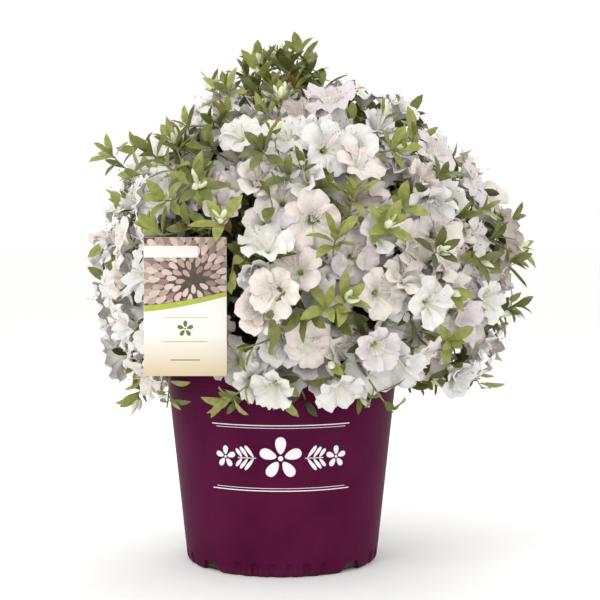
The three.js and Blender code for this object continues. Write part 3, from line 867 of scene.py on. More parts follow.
# %% Crown shape, cells and the places that are taken
def on_crown(direction, share):
    return REACH * direction * share + CENTRE


def from_centre(point):
    return (point - CENTRE) / REACH


def crown_outline(direction):
    return 1 - FLAT_TOP * max(0.0, direction[2]) ** 2


def out_past(point, share):
    """The spot at a share of the way to the crown's surface, on the line through a point."""
    direction = unit(from_centre(point))
    return on_crown(direction, share * crown_outline(direction))


STAKE_BENDS = [
    # y and z, from the back of the card over the pot's lip and down into the mix
    (LABEL["y"] + 0.5, LABEL["bottom"] + 70),
    (LABEL["y"] + 18, LABEL["bottom"] + 46),
    (LABEL["y"] + 52, LABEL["bottom"] + 24),
    (LABEL["stake_y"] - 33, POT["height"] + 13),
    (LABEL["stake_y"] - 12, POT["height"] + 5),
    (LABEL["stake_y"], SOIL["top"] + 4),
    (LABEL["stake_y"], SOIL["top"] - 25),
    (LABEL["stake_y"], SOIL["top"] - 50),
]
stake_line = through([(LABEL["x"], y, z) for y, z in STAKE_BENDS], 61)


def taken(points):
    """True where a piece would touch the pot, hide the label or touch its stake."""
    x, y, z = np.atleast_2d(points).T
    clear = 4
    at_pot = (z < POT["height"] + clear) & (np.hypot(x, y) < POT["lip_radius"] + clear)
    aside, above = np.abs(x - LABEL["x"]), np.abs(z - LABEL["bottom"] - LABEL["height"] / 2)
    over_card = (aside < LABEL["width"] / 2 + clear) & (above < LABEL["height"] / 2 + clear)
    to_stake = np.hypot(y[:, None] - stake_line[:, 1], z[:, None] - stake_line[:, 2]).min(axis=1)
    return at_pot | ((y < LABEL["y"] + 14) & over_card) | ((aside < 9) & (to_stake < 6))


masses = []
for ring_name, count, elevation, first, blooms in RINGS:
    for i in range(count):
        azimuth, tilt = math.radians(-90 + first + i * 360 / count), math.radians(elevation)
        flat, rise = math.cos(tilt), math.sin(tilt)
        direction = np.array((flat * math.cos(azimuth), flat * math.sin(azimuth), rise))
        mass = {"ring": ring_name, "blooms": blooms, "seed": len(masses) + 1}
        mass["site"], mass["root"] = on_crown(direction, SITE), on_crown(direction, CORE)
        mass["outward"] = unit(mass["site"] - mass["root"])
        tip = on_crown(direction, STEM_END * crown_outline(direction))
        mass["stem"] = (mass["root"] + mass["outward"] * 0.3, tip)
        masses.append(mass)
for mass in masses:
    others = [other["site"] for other in masses if other is not mass]
    mass["middles"] = np.array([(site + mass["site"]) / 2 for site in others] + [(0, 0, LOWEST)])
    mass["outs"] = np.array([unit(site - mass["site"]) for site in others] + [(0, 0, -1)])
print("masses", len(masses))


# %% Twigs of a mass
def has_room(points, mass):
    """True where all the points lie in the mass's own cell, outside its core and clear of the pot."""
    points = np.atleast_2d(points)
    inside = ((mass["middles"][None] - points[:, None]) * mass["outs"]).sum(axis=2) > CELL_GAP
    outside_core = np.linalg.norm((points - CENTRE) / REACH, axis=1) > CORE + 0.015
    return bool(inside.all() and outside_core.all() and not taken(points).any())


def room_across(mass, way, margin):
    """How far the cell reaches from its middle along a way, less a margin."""
    lean = mass["outs"] @ way
    room = ((mass["middles"] - mass["site"]) * mass["outs"]).sum(axis=1) - margin
    return min([SPREAD, *(room[lean >= 0.2] / lean[lean >= 0.2])])


def between(a, b):
    count = math.ceil(np.linalg.norm(b - a) / 5)
    return a + (b - a) * (np.arange(1, count + 1) / count)[:, None]


def rim_of(twig):
    """The corners of the petals of the bloom that a twig carries."""
    rim = []
    for petal in range(BLOOM["petals"]):
        for turn, reach, lift in PETAL_CORNERS:
            angle = (petal + turn) * 2 * math.pi / BLOOM["petals"]
            out = around(twig["facing"], twig["spin"] + angle)
            rim.append(twig["mouth"] + out * twig["radius"] * reach + twig["facing"] * lift)
    return np.array(rim)


def crosses(root, tip, twig):
    """True where a straight twig would pass through another one's bloom or leafy end."""
    run = tip - root
    share = min(max((twig["mouth"] - root) @ run / (run @ run), 0.0), 1.0)
    return np.linalg.norm(root + run * share - twig["mouth"]) < twig.get("radius", SHOOT["margin"])


def twigs_of(mass):
    """The blooming twigs and leafy shoots of one mass, each tried where the spiral comes to."""
    draw = seeded(mass["seed"])
    right, up = across(mass["outward"])
    start = 2 * math.pi * draw()
    twigs = []

    def spot_at(step, margin, share):
        turn = start + GOLDEN * step
        way = right * math.cos(turn) + up * math.sin(turn)
        aside = math.sqrt(step / SPOTS) * room_across(mass, way, margin)
        return out_past(mass["site"] + way * aside, share)

    def root_at(share):
        return mix(*mass["stem"], share)

    def crowded(root, tip, spacing):
        near = (np.linalg.norm(other["mouth"] - tip) < spacing for other in twigs)
        return any(near) or any(crosses(root, tip, other) for other in twigs)

    for step in range(SPOTS, 0, -1):
        draws = [draw() for _ in range(8)]
        mouth = spot_at(step, BLOOM["margin"], mix(BLOOM["low"], BLOOM["high"], draws[0]))
        root = root_at(mix(TWIG_HIGH, TWIG_LOW, draws[2]))
        if draws[1] > mass["blooms"] or crowded(root, mouth, BLOOM["spacing"]):
            continue
        jitter = (np.array(draws[3:6]) - 0.5) * BLOOM["tilt"]
        facing = unit(unit(mouth - root) + mass["outward"] + jitter)
        twig = {
            "root": root,
            "end": mouth - facing * BLOOM["depth"],
            "mouth": mouth,
            "facing": facing,
            "radius": BLOOM["radius"] * mix(0.88, 1.06, draws[6]),
            "spin": 2 * math.pi * draws[7],
        }
        if has_room(np.vstack([rim_of(twig), between(root, twig["end"])]), mass):
            twigs.append(twig)
    for step in range(SPOTS, 0, -1):
        draws = [draw() for _ in range(3)]  # the third only keeps step with the solids' rule
        end = spot_at(step, SHOOT["margin"], mix(SHOOT["low"], SHOOT["high"], draws[0]))
        root = root_at(mix(TWIG_HIGH, TWIG_LOW, draws[1]))
        if not crowded(root, end, SHOOT["spacing"]) and has_room(between(root, end), mass):
            twigs.append({"root": root, "end": end, "mouth": end})
    for end in SPRIGS:
        if has_room(end, mass):
            twigs.append({"root": root_at(1), "end": end, "mouth": end})
    return twigs


for mass in masses:
    mass["twigs"] = twigs_of(mass)
first_twigs = [(mass, twig) for mass in masses for twig in mass["twigs"]]
print("twigs", len(first_twigs), "with a bloom", sum("facing" in twig for _, twig in first_twigs))

# %% [markdown]
# ## Trunk and boughs
# Azalea bark is thin, grey-brown and finely ridged along the limb. The trunk is short and flares
# at the soil, and each bough leaves it inside the wood, so no joint shows. Every limb is a tube
# whose radius is worked point by point from noise that is stretched along the limb, which makes
# true relief.


# %% Tubes
def tube(shells, path, radii, sides=5, relief=None):
    """A closed tube along a path, whose relief is a factor on the radius at a turn and a run."""
    path = np.asarray(path, float)
    tangents = np.gradient(path, axis=0)
    tangents /= np.linalg.norm(tangents, axis=1)[:, None]
    right = across(tangents[0])[0]
    turns = np.linspace(0, 2 * math.pi, sides, endpoint=False)
    cosines, sines = np.cos(turns)[:, None], np.sin(turns)[:, None]
    corners, run, before = [], 0.0, path[0]
    for point, tangent, radius in zip(path, tangents, radii):
        right = unit(right - tangent * (right @ tangent))
        run += float(np.linalg.norm(point - before))
        before = point
        spread = radius if relief is None else radius * np.array([[relief(a, run)] for a in turns])
        corners.append(point + (cosines * right + sines * np.cross(tangent, right)) * spread)
    last = (len(path) - 1) * sides
    caps = [list(reversed(range(sides))), [last + k for k in range(sides)]]
    shells.add(np.concatenate(corners), grid_faces(len(path), sides) + caps)


def ridged(seed, depth, across_scale=2.4, along_scale=0.03):
    """Bark relief: ridges that run along a limb, with finer cracks across them."""

    def relief(turn, run):
        x, y = math.cos(turn) * across_scale, math.sin(turn) * across_scale
        ridge = noise.noise(Vector((x, y, run * along_scale + seed * 7.7)))
        crack = noise.noise(Vector((x * 2.3, y * 2.3, run * along_scale * 6 + seed * 3.1)))
        return 1 + depth * (ridge + 0.5 * crack)

    return relief


# %% Bark finish
bark_finish = Finish("azalea_bark", specular_ior_level=0.25)
ridges = bark_finish.grain(2.2, 5, stretch=(1, 1, 3), roughness=0.7)
blotches = bark_finish.grain(14, 3)
bark_colour = bark_finish.blend(blotches.ramp(0.35, 0.65), srgb(88, 70, 54), srgb(134, 115, 94))
bark_finish.paint(ridges.ramp(0.55, 0.3), bark_colour, srgb(58, 44, 34))
bark_finish.put("Roughness", 0.75 + ridges * 0.2)
bark_finish.bump(ridges, 0.6)

# %% Trunk, boughs and stems
wood = Shells()
heights = [-3, -1, 1.5, 4, 8, 13, 18, 24, 30, 35, 38.5, 40.5]
radii = [25.5, 25, 23.5, 21, 19, 17.6, 17, 16.4, 15.8, 15.3, 13.5, 9]
trunk_ridges = ridged(3, 0.09, 2.8, 0.05)


def on_trunk(height):
    """The middle of the trunk, which leans a little, at a height above its foot."""
    lean = max(0, height) * TRUNK["lean"] / TRUNK["height"]
    return np.array((lean, 0, TRUNK["foot"] + height))


def trunk_relief(turn, run):
    roots = max(0.0, 1 - run / 14) * 0.16 * math.cos(5 * turn + 0.6)
    return trunk_ridges(turn, run) + roots - 0.03


tube(wood, [on_trunk(height) for height in heights], radii, 48, trunk_relief)
for mass in masses:
    height, aside, climb, radius = FORKS[mass["ring"]]
    root, outward = mass["root"], mass["outward"]
    start = on_trunk(height) + unit(outward * (1, 1, 0)) * aside
    span = np.linalg.norm(root - start)
    rise = unit(np.array((outward[0], outward[1], climb)))
    lead = bezier(start, start + rise * span * 0.3, root - outward * span * 0.35, root, 30)
    stem = root + (mass["stem"][1] - root) * np.linspace(0, 1, 11)[1:, None]
    path = np.vstack([lead, stem])
    share = np.linspace(0, 1, len(path))
    radii = np.interp(share, [0, 0.12, 0.75, 1], [radius * 1.35, radius, 2.6, 1.3])
    tube(wood, path, radii, 14, ridged(mass["seed"], 0.16))
wood.piece("bark_limbs", [bark_finish], "bark", replaces=["trunk", *BOUGH_NODES], crease=60)

# %% [markdown]
# ## Finer growth
# The twigs of the rule carry the solids' blooms and leafy ends. On the real shrub each of them
# forks again, so more blooms and many more leafy shoots branch from them here, at spots spread
# evenly over the crown at several depths. Each spot is joined to the nearest twig that lies
# further in. A shrub is never a smooth dome, so slow noise pushes whole patches of the crown in or
# out, draws the skirt in over the rim, and makes some patches leafier than others.

# %% Extra blooms and leafy shoots
GROWTH = {
    "bloom_tries": 3200,
    "bloom_spacing": (23, 38),
    "bloom_shares": (0.78, 0.91),  # lowest and highest share of the way to the crown's surface
    "bloom_radii": (32, 40),
    "small_bloom": 27,
    "first_blooms": 1.1,  # how much larger the blooms of the rule's own twigs are here
    "shoot_spacing": 21,
    "sprigs_apart": 2.1,
}
SHOOT_LAYERS = [
    # tries, lowest and highest share of the way to the crown's surface, a name for the layer
    (210, 0.94, 1.0, "sprig"),
    (1500, 0.84, 0.96, "fresh"),
    (420, 0.7, 0.84, "old"),
    (260, 0.54, 0.7, "deep"),
]
rng = np.random.default_rng(11)


def lumpy(direction, share):
    """The spot at a share of the way to the crown's uneven surface."""
    lumps = 0.11 * noise.noise(Vector(direction * 2.4))
    lumps += 0.07 * noise.noise(Vector(direction * 5.5))
    skirt = (0.2 + 0.4 * abs(direction[0])) * max(0.0, -direction[2])
    shoulder = 0.45 * max(0.0, direction[0]) * max(0.0, direction[2] - 0.3)
    return on_crown(direction, (share + lumps - skirt - shoulder) * crown_outline(direction))


def leafiness(direction):
    """How much leafier than usual the crown is there: in slow patches, and towards the top."""
    patch = max(0.0, noise.noise(Vector(direction * 3 + (4, 0, 0))) - 0.16)
    return patch + 0.14 * max(0.0, direction[2]) + 2.4 * max(0.0, direction[2] - 0.86)


def beyond_box(points, margin):
    """True where a spot lies more than a margin outside the box of the solids."""
    low, high = np.array(cad_box) / MM
    return ((points < low - margin) | (points > high + margin)).any()


def spread_directions(count):
    """That many directions spread evenly over a ball in a spiral from top to bottom."""
    k = np.arange(count)
    z = 1 - 2 * (k + 0.5) / count
    flat = np.sqrt(1 - z * z)
    return np.column_stack([flat * np.cos(k * GOLDEN), flat * np.sin(k * GOLDEN), z])


def twig_path(twig, mass):
    """A twig leaves along its stem and bends to the way its bloom or leaves face."""
    root, end = twig["root"], twig["end"]
    span, way = np.linalg.norm(end - root), unit(end - root)
    leave = unit(way + mass["outward"] * 0.6) * span * 0.3
    arrive = unit(twig.get("facing", way + (0, 0, 0.25))) * span * 0.25
    return bezier(root, root + leave, end - arrive, end, 9)


limb_points, limb_ways = [], []
for mass, twig in first_twigs:
    twig["path"] = twig_path(twig, mass)
    ways = np.gradient(twig["path"], axis=0)
    for point, way in list(zip(twig["path"], ways))[1:-1]:
        limb_points.append(point)
        limb_ways.append(unit(way))
limb_points, limb_ways = np.array(limb_points), np.array(limb_ways)
limb_shares = np.linalg.norm((limb_points - CENTRE) / REACH, axis=1)


def branch_to(tip, facing, share):
    """A path from the nearest twig that lies further in than a tip, out to it."""
    away = tip - limb_points
    distance = np.linalg.norm(away, axis=1)
    lean = (away * limb_ways).sum(axis=1) / np.maximum(distance, 1)
    cost = distance * (1.6 - 0.6 * lean) + 200 * (limb_shares > share - 0.05)
    nearest = int(np.argmin(cost))
    root, span = limb_points[nearest], distance[nearest]
    leave = unit(limb_ways[nearest] + unit(away[nearest]))
    return bezier(root, root + leave * span * 0.3, tip - facing * span * 0.3, tip, 8)


def apart_from(spots, spot):
    """How far a spot is from the nearest of some others."""
    return np.linalg.norm(np.array(spots) - spot, axis=1).min()


blooms = []
for _, twig in first_twigs:
    if "facing" in twig:
        blooms.append({**twig, "radius": twig["radius"] * GROWTH["first_blooms"]})
bloom_mouths = [twig["mouth"] for twig in blooms]
for direction in spread_directions(GROWTH["bloom_tries"]):
    share = rng.uniform(*GROWTH["bloom_shares"])
    jitter = rng.normal(0, 0.38, 3)
    mouth = lumpy(direction, share)
    facing = unit(direction / REACH * 270 + jitter + (0, 0, 0.1))
    neck = mouth - facing * BLOOM["depth"]
    circle = np.array([around(facing, a) for a in np.linspace(0, 2 * math.pi, 9)])
    for radius in (rng.uniform(*GROWTH["bloom_radii"]), GROWTH["small_bloom"], 0):
        rim = mouth + circle * radius
        fits = not taken(np.vstack([rim, rim + facing * 9, [neck]])).any()
        if fits and rim[:, 2].min() > LOWEST + 4:
            break
    if not radius:
        continue
    room = rng.uniform(*GROWTH["bloom_spacing"]) + 30 * leafiness(direction)
    if apart_from(bloom_mouths, mouth) < room:
        continue
    bloom_mouths.append(mouth)
    bloom = {"mouth": mouth, "facing": facing, "radius": radius, "end": neck}
    blooms.append({**bloom, "path": branch_to(neck, facing, share)})
bloom_mouths = np.array(bloom_mouths)
bloom_facings = np.array([b["facing"] for b in blooms])
print("blooms", len(blooms))

# %% Leafy shoots
shoots = [dict(twig, layer="sprig") for _, twig in first_twigs if "facing" not in twig]
shoot_ends = [s["end"] for s in shoots]
for tries, low, high, layer in SHOOT_LAYERS:
    for direction in spread_directions(tries):
        share = rng.uniform(low, high)
        direction = unit(direction + rng.normal(0, 0.05, 3))
        end = lumpy(direction, share)
        facing = unit(direction + rng.normal(0, 0.25, 3) + (0, 0, 0.35))
        stopped = taken(np.array([end, end + facing * 22])).any()
        if stopped or end[2] < LOWEST + 10 or beyond_box(end + facing * 30, 4):
            continue
        sparse = GROWTH["sprigs_apart"] if layer == "sprig" else 1
        if apart_from(shoot_ends, end) < GROWTH["shoot_spacing"] * sparse:
            continue
        away = end - bloom_mouths
        ahead = (away * bloom_facings).sum(axis=1)
        aside = np.linalg.norm(away - ahead[:, None] * bloom_facings, axis=1)
        covers = ((ahead > -22) & (ahead < 60) & (aside < 32)).any()
        left_out = (0.74 if layer == "sprig" else 0.96) - leafiness(direction)
        if covers and rng.random() < left_out:
            continue
        shoot_ends.append(end)
        shoots.append({"end": end, "path": branch_to(end, facing, share), "layer": layer})
print("shoots", len(shoots))

# %% [markdown]
# ## Twigs
# The older twigs are brown and rough, and this year's growth behind each bloom and leaf is green.
# They are tubes of five sides that taper from the limb outwards, gathered in two pieces, one for
# each age.

# %% Twigs and green shoots
twig_finish = Finish("brown_twigs", roughness=0.8)
twig_tint = twig_finish.grain(18, 2)
twig_finish.paint(twig_tint.ramp(0.35, 0.65), srgb(112, 90, 66), srgb(146, 130, 96))
twig_finish.bump(twig_finish.grain(1.5, 3), 0.2)
green_finish = Finish("green_shoots", roughness=0.55)
green_tint = green_finish.grain(10, 2)
green_finish.paint(green_tint.ramp(0.35, 0.65), srgb(118, 120, 66), srgb(146, 150, 92))
green_finish.bump(green_finish.grain(0.8, 2), 0.08)

brown, green = Shells(), Shells()
for growth in blooms + shoots:
    path = growth["path"]
    if "root" in growth:
        tube(brown, path[:7], np.linspace(1.5, 1.05, 7))
        tube(green, path[5:], [1.0, 0.95, 0.9, 0.85])
    else:
        tube(brown, path[:5], np.linspace(1.1, 0.85, 5), 4)
        tube(green, path[3:], np.linspace(0.8, 0.75, len(path) - 3), 4)
    if "facing" in growth:
        neck = growth["end"] + growth["facing"] * np.array([-5, -2, 0.5, 3])[:, None]
        tube(green, neck, [0.8, 1.5, 2.3, 2.0], 6)
brown.piece("twigs_brown", [twig_finish], "bark", replaces=MASS_NODES, crease=60)
green.piece("shoots_green", [green_finish], "foliage_and_blossom", replaces=MASS_NODES, crease=60)

# %% [markdown]
# ## Leaf and petal sheets
# A leaf or petal is a thin closed sheet. `sheet_shape` takes a grid of points, lifts the inside of
# the sheet a little on both faces and joins the two along the rim, so that it has no open edge.


# %% Sheets
def sheet_shape(grid, thickness, shells, parts=None, part_of_row=None):
    """Adds a thin closed sheet over a grid of points, and the part that each face belongs to."""
    rows, columns = grid.shape[:2]
    normal = np.cross(np.gradient(grid, axis=0), np.gradient(grid, axis=1))
    normal /= np.maximum(np.linalg.norm(normal, axis=2), 1e-9)[..., None]
    inside = np.zeros((rows, columns), bool)
    inside[1:-1, 1:-1] = True
    top = grid + normal * inside[..., None] * thickness / 2
    bottom = (grid - normal * inside[..., None] * thickness / 2)[inside]
    above = np.arange(rows * columns).reshape(rows, columns)
    below = above.copy()
    below[inside] = rows * columns + np.arange(inside.sum())
    faces = []
    for r in range(rows - 1):
        for c in range(columns - 1):
            quad = [(r, c), (r + 1, c), (r + 1, c + 1), (r, c + 1)]
            faces.append([above[q] for q in quad])
            faces.append([below[q] for q in reversed(quad)])
            if parts is not None:
                parts += [part_of_row(r)] * 2
    shells.add(np.vstack([top.reshape(-1, 3), bottom]), faces)


def shape_mesh(name, shells, parts=None):
    corners, faces = np.concatenate(shells.corners), shells.faces
    return make_mesh(name, corners, faces, part=parts or [0] * len(faces), crease=75)


# %% [markdown]
# ## Leaves
# The leaves are small blunt ovals in close whorls below each bloom and round the end of each
# shoot. Nine of them are made, folded on the midrib and curled by different amounts. They are
# rooted on the stem's own line, and one that would cut through the petals of a bloom is left out,
# since on the real shrub it would have been pushed aside.

# %% Leaf shapes: blunt ovals that narrow to a short stalk, folded on the midrib and curled
LEAF = {"length": 34, "width": 12.6, "thickness": 0.5, "shapes": 9}
leaf_shapes = []
draw = seeded(5)
for k in range(LEAF["shapes"]):
    s = np.array([0, 0.13, 0.34, 0.58, 0.82, 1.0])[:, None]
    t = np.array([-1.0, 0, 1])[None, :]
    half = np.array([0.05, 0.3, 0.82, 1.0, 0.7, 0.06])[:, None] * LEAF["width"] / 2
    aside = half * mix(0.86, 1.12, draw()) * t
    curl, fold, twist = mix(-0.15, 0.85, draw()), mix(0.15, 0.55, draw()), mix(-0.35, 0.35, draw())
    run = LEAF["length"] * (s - 0.12 * curl * s**3) + 0 * t
    sag = -LEAF["length"] * 0.5 * curl * s**2
    face = sag + np.abs(aside) * fold + aside * np.sin(twist * s)
    grid = np.stack([aside * np.cos(twist * s), face, run], axis=2)
    shells = Shells()
    sheet_shape(grid, LEAF["thickness"], shells)
    leaf_shapes.append(shape_mesh(f"leaf_{k}", shells))

# %% Leaf finishes, one plain colour for each kind of spray, with fine mottling that has no place
LEAF_COLOURS = {
    "fresh": (srgb(158, 162, 92), srgb(127, 133, 63)),
    "grey_green": (srgb(119, 124, 64), srgb(92, 98, 44)),
    "olive": (srgb(100, 103, 49), srgb(76, 79, 34)),
    "deep": (srgb(76, 80, 37), srgb(55, 58, 26)),
    "rusty": (srgb(150, 108, 62), srgb(120, 88, 48)),
    "dry": (srgb(158, 138, 110), srgb(122, 102, 78)),
}
leaf_finishes = {}
for kind, (light, dark) in LEAF_COLOURS.items():
    finish = Finish(f"leaf_{kind}", specular_ior_level=0.4)
    mottle = finish.grain(7, 3)
    finish.paint(mottle.ramp(0.3, 0.7), light, dark)
    finish.put("Roughness", 0.42 + mottle * 0.2)
    finish.bump(finish.grain(2.2, 3), 0.25)
    leaf_finishes[kind] = finish

# %% Leaves in whorls round the shoots and under the blooms
RUSTY_SHARE = 0.005
leaf_spots = {kind: [] for kind in LEAF_COLOURS}
bloom_radii = np.array([b["radius"] for b in blooms])


def cuts_a_bloom(root, tip):
    """True where a leaf would pass through the funnel of petals of any bloom."""
    points = root + (tip - root) * np.linspace(0, 1, 7)[:, None]
    away = points[:, None] - bloom_mouths
    ahead = (away * bloom_facings).sum(axis=2)
    share = np.linalg.norm(away - ahead[..., None] * bloom_facings, axis=2) / bloom_radii
    above = ahead > -BLOOM["depth"] + 18 * (1 - (1 - share.clip(0, 1) ** 0.8) ** 2.2)
    return bool(((above[1:] != above[:-1]) & (share[1:] < 1.02)).any())


def whorl(path, count, open_from, open_to, scale, kinds, bare=0.0, pitch=1.6):
    """Leaves in a spiral down from the end of a shoot, small and upright first, then flatter."""
    usual = kinds[int(rng.integers(len(kinds)))]
    along = unit(path[-1] - path[-2])
    right, up = across(along)
    inwards = path[::-1]
    steps = np.linalg.norm(np.diff(inwards, axis=0), axis=1)
    distances = np.concatenate([[0], np.cumsum(steps)])
    spin = rng.uniform(0, 2 * math.pi)
    for i in range(count):
        turn = spin + GOLDEN * i
        out = right * math.cos(turn) + up * math.sin(turn)
        open_by = math.radians(mix(open_from, open_to, i / max(1, count - 1)) + rng.normal(0, 7))
        way = along * math.cos(open_by) + out * math.sin(open_by)
        length = scale * mix(0.72, 1.04, min(1.0, (i + 1) / 4)) * rng.uniform(0.88, 1.1)
        back = bare + i * pitch
        root = np.array([np.interp(back, distances, inwards[:, axis]) for axis in range(3)])
        tip = root + way * LEAF["length"] * length
        stopped = taken(np.array([tip, mix(root, tip, 0.6)])).any()
        if stopped or tip[2] < LOWEST - 6 or cuts_a_bloom(root, tip):
            continue
        face = along - out * 0.9 + np.array((0, 0, 0.35))
        kind = usual if rng.random() > RUSTY_SHARE else "rusty"
        shape = int(rng.integers(LEAF["shapes"]))
        leaf_spots[kind].append((root, frame_along(way, face), length, shape))


LAYER_KINDS = {
    "sprig": ["fresh", "fresh", "grey_green"],
    "fresh": ["fresh", "fresh", "grey_green", "grey_green", "olive"],
    "old": ["grey_green", "olive", "olive", "deep"],
    "deep": ["deep", "deep", "olive", "dry"],
}
for shoot in shoots:
    kinds = LAYER_KINDS[shoot["layer"]]
    whorl(shoot["path"], int(rng.integers(6, 9)), 16, 72, rng.uniform(0.85, 1.06), kinds)
    if shoot["layer"] == "sprig":
        whorl(shoot["path"], 5, 45, 70, 0.95, kinds, bare=17, pitch=6)
BLOOM_KINDS = ["grey_green", "olive", "deep"]
for bloom in blooms:
    whorl(bloom["path"], int(rng.integers(4, 6)), 78, 102, 1.0, BLOOM_KINDS, bare=3)
for kind, spots in leaf_spots.items():
    plant(f"leaves_{kind}", spots, leaf_shapes, [leaf_finishes[kind]], unevenness=0.04, seed=5)
print("leaves", sum(map(len, leaf_spots.values())))

# %% [markdown]
# ## Blooms
# An azalea bloom is a funnel that opens into five broad petals, each lapping over the next, with
# wavy margins, a pale green throat, a few dark specks on the upper petal and long curved stamens.
# Each petal is a sheet whose points follow the funnel, and ten different blooms are made, so that
# no two neighbours look alike once they are turned and sized. Two of the ten are half double, with
# a second, smaller round of petals in the throat.

# %% Bloom shapes
PETAL = {"count": 5, "half_turn": 46, "neck": 2.0, "reach": 31, "thickness": 0.34}
BLOOM_SHAPES = 10


def bloom_character(seed):
    """How one bloom differs from the rest: its curl, waves, ruffles, and each petal's size."""
    draw = seeded(seed)
    return {
        "recurve": mix(-2, 9, draw()),
        "frill": mix(1.6, 4.2, draw()),
        "waves": mix(1.8, 3.4, draw()),
        "ruffle": mix(0.7, 1.7, draw()),
        "phases": [2 * math.pi * draw() for _ in range(PETAL["count"])],
        "lifts": [mix(-4.5, 6.0, draw()) for _ in range(PETAL["count"])],
        "lengths": [mix(0.88, 1.05, draw()) for _ in range(PETAL["count"])],
        "cup": mix(-0.5, 3.5, draw()),
        "half_turn": PETAL["half_turn"] * mix(0.9, 1.08, draw()),
        "open": mix(0.84, 1.0, draw() ** 0.7),
    }


def petal_point(bloom, petal, s, t):
    """A point of a petal at shares along it, from the neck to the rim, and across it."""
    s, t = np.broadcast_arrays(np.asarray(s, float), np.asarray(t, float))
    midrib = np.exp(-((t / 0.2) ** 2))
    phase = bloom["phases"][petal]
    rim = PETAL["reach"] * bloom["lengths"][petal] * (1 - 0.36 * np.abs(t) ** 2.6 - 0.05 * midrib)
    radius = PETAL["neck"] + (rim * mix(1, bloom["open"], s**2) - PETAL["neck"]) * s**1.25
    turn = math.radians(90 + 72 * petal) + t * math.radians(bloom["half_turn"]) * mix(1.05, 1, s)
    funnel = -BLOOM["depth"] + (BLOOM["depth"] + 2) * (1 - (1 - s) ** 2.2)
    lift = (bloom["lifts"][petal] + 34 * (1 - bloom["open"])) * s**2
    curl = bloom["recurve"] * np.clip((s - 0.55) / 0.45, 0, 1) ** 2
    cup = bloom["cup"] * (1 - t * t) * s * (1 - s) * 2 - 1.3 * t * s
    frill = bloom["frill"] * s**2.4 * np.sin(bloom["waves"] * math.pi * t + phase)
    crinkle = math.pi * (2.4 + bloom["ruffle"]) * t + 2 * phase
    ruffle = bloom["ruffle"] * s**5 * np.sin(crinkle)
    height = funnel + lift - curl - cup + frill + ruffle - midrib * s
    radius = radius * (1 + 0.035 * s**4 * np.cos(crinkle))
    return np.stack([radius * np.cos(turn), radius * np.sin(turn), height], axis=-1)


characters = [bloom_character(seed + 21) for seed in range(BLOOM_SHAPES)]
petal_s = np.array([0, 0.15, 0.38, 0.62, 0.83, 1])[:, None]
petal_t = np.linspace(-1, 1, 11)[None, :]
HALF_DOUBLE = {"frill": 5.0, "recurve": -8, "half_turn": 34}  # the petals in the throat
between_petals = np.array(Matrix.Rotation(math.radians(36), 3, "Z")).T
corolla_shapes = []
for number, bloom in enumerate(characters):
    shells, parts = Shells(), []
    for petal in range(PETAL["count"]):
        grid = petal_point(bloom, petal, petal_s, petal_t)
        sheet_shape(grid, PETAL["thickness"], shells, parts, lambda row: max(2 - row, 0))
    if number % 5 == 3:
        inner = bloom_character(number + 140) | HALF_DOUBLE
        for petal in range(PETAL["count"] - 1):
            grid = petal_point(inner, petal, petal_s[::2], petal_t[:, ::2])
            grid = grid * (0.68, 0.68, 0.8) + (0, 0, 1.5)
            sheet_shape(grid @ between_petals, PETAL["thickness"], shells, parts, lambda row: 0)
    corolla_shapes.append(shape_mesh(f"corolla_{number}", shells, parts))
print("corolla faces", len(corolla_shapes[0].polygons))

# %% Stamens: thin curved filaments from the throat, each with a dark anther, and a longer style
STAMENS, SPECKS = 5, 12
stamen_shapes = []
for number, bloom in enumerate(characters):
    draw = seeded(number + 60)
    shells, parts = Shells(), []
    for k in range(STAMENS):
        style = k == 0
        turn = math.radians(90) + (draw() - 0.5) * 2.2
        lean, tall = mix(4, 12, draw()), 15 if style else mix(4, 11, draw())
        tip = np.array((math.cos(turn) * lean, math.sin(turn) * lean + (6 if style else 3), tall))
        root, bend = np.array((0, 0, -11.0)), np.array((0, -2.0, -2))
        path = bezier(root, bend, tip - (0, 1.5, 5), tip, 5)[1:]
        tube(shells, path, np.linspace(0.36, 0.26, 4), 3)
        parts += [0] * (len(shells.faces) - len(parts))
        way = unit(path[-1] - path[-2])
        tube(shells, tip + way * np.array([-0.3, 0.6, 1.6])[:, None], [0.3, 0.62, 0.2], 4)
        parts += [1] * (len(shells.faces) - len(parts))
    stamen_shapes.append(shape_mesh(f"stamens_{number}", shells, parts))

# %% Specks on the upper petal, each a tiny raised diamond that lies along the petal
DIAMOND = [[0, 1, 4], [1, 2, 4], [2, 3, 4], [3, 0, 4], [1, 0, 5], [2, 1, 5], [3, 2, 5], [0, 3, 5]]
speck_shapes = []
for number, bloom in enumerate(characters):
    draw = seeded(number + 90)
    shells = Shells()
    for k in range(SPECKS):
        petal = 0 if k < 9 else (1 if k % 2 else 4)
        s, t = mix(0.3, 0.78, draw() ** 1.2), mix(-0.5, 0.5, draw())
        if petal:
            s, t = mix(0.3, 0.55, draw()), mix(0.1, 0.5, draw()) * (-1 if petal == 1 else 1)
        here = petal_point(bloom, petal, s, t)
        along = unit(petal_point(bloom, petal, s + 0.02, t) - here)
        side = unit(petal_point(bloom, petal, s, t + 0.02) - here)
        lift = unit(np.cross(along, side))
        here = here + lift * (PETAL["thickness"] / 2 + 0.05)
        long, wide = mix(0.4, 0.9, draw()), mix(0.2, 0.34, draw())
        flat = (along * long, side * wide, -along * long, -side * wide)
        shells.add([here + corner for corner in (*flat, lift * 0.12, -lift * 0.25)], DIAMOND)
    speck_shapes.append(shape_mesh(f"specks_{number}", shells))

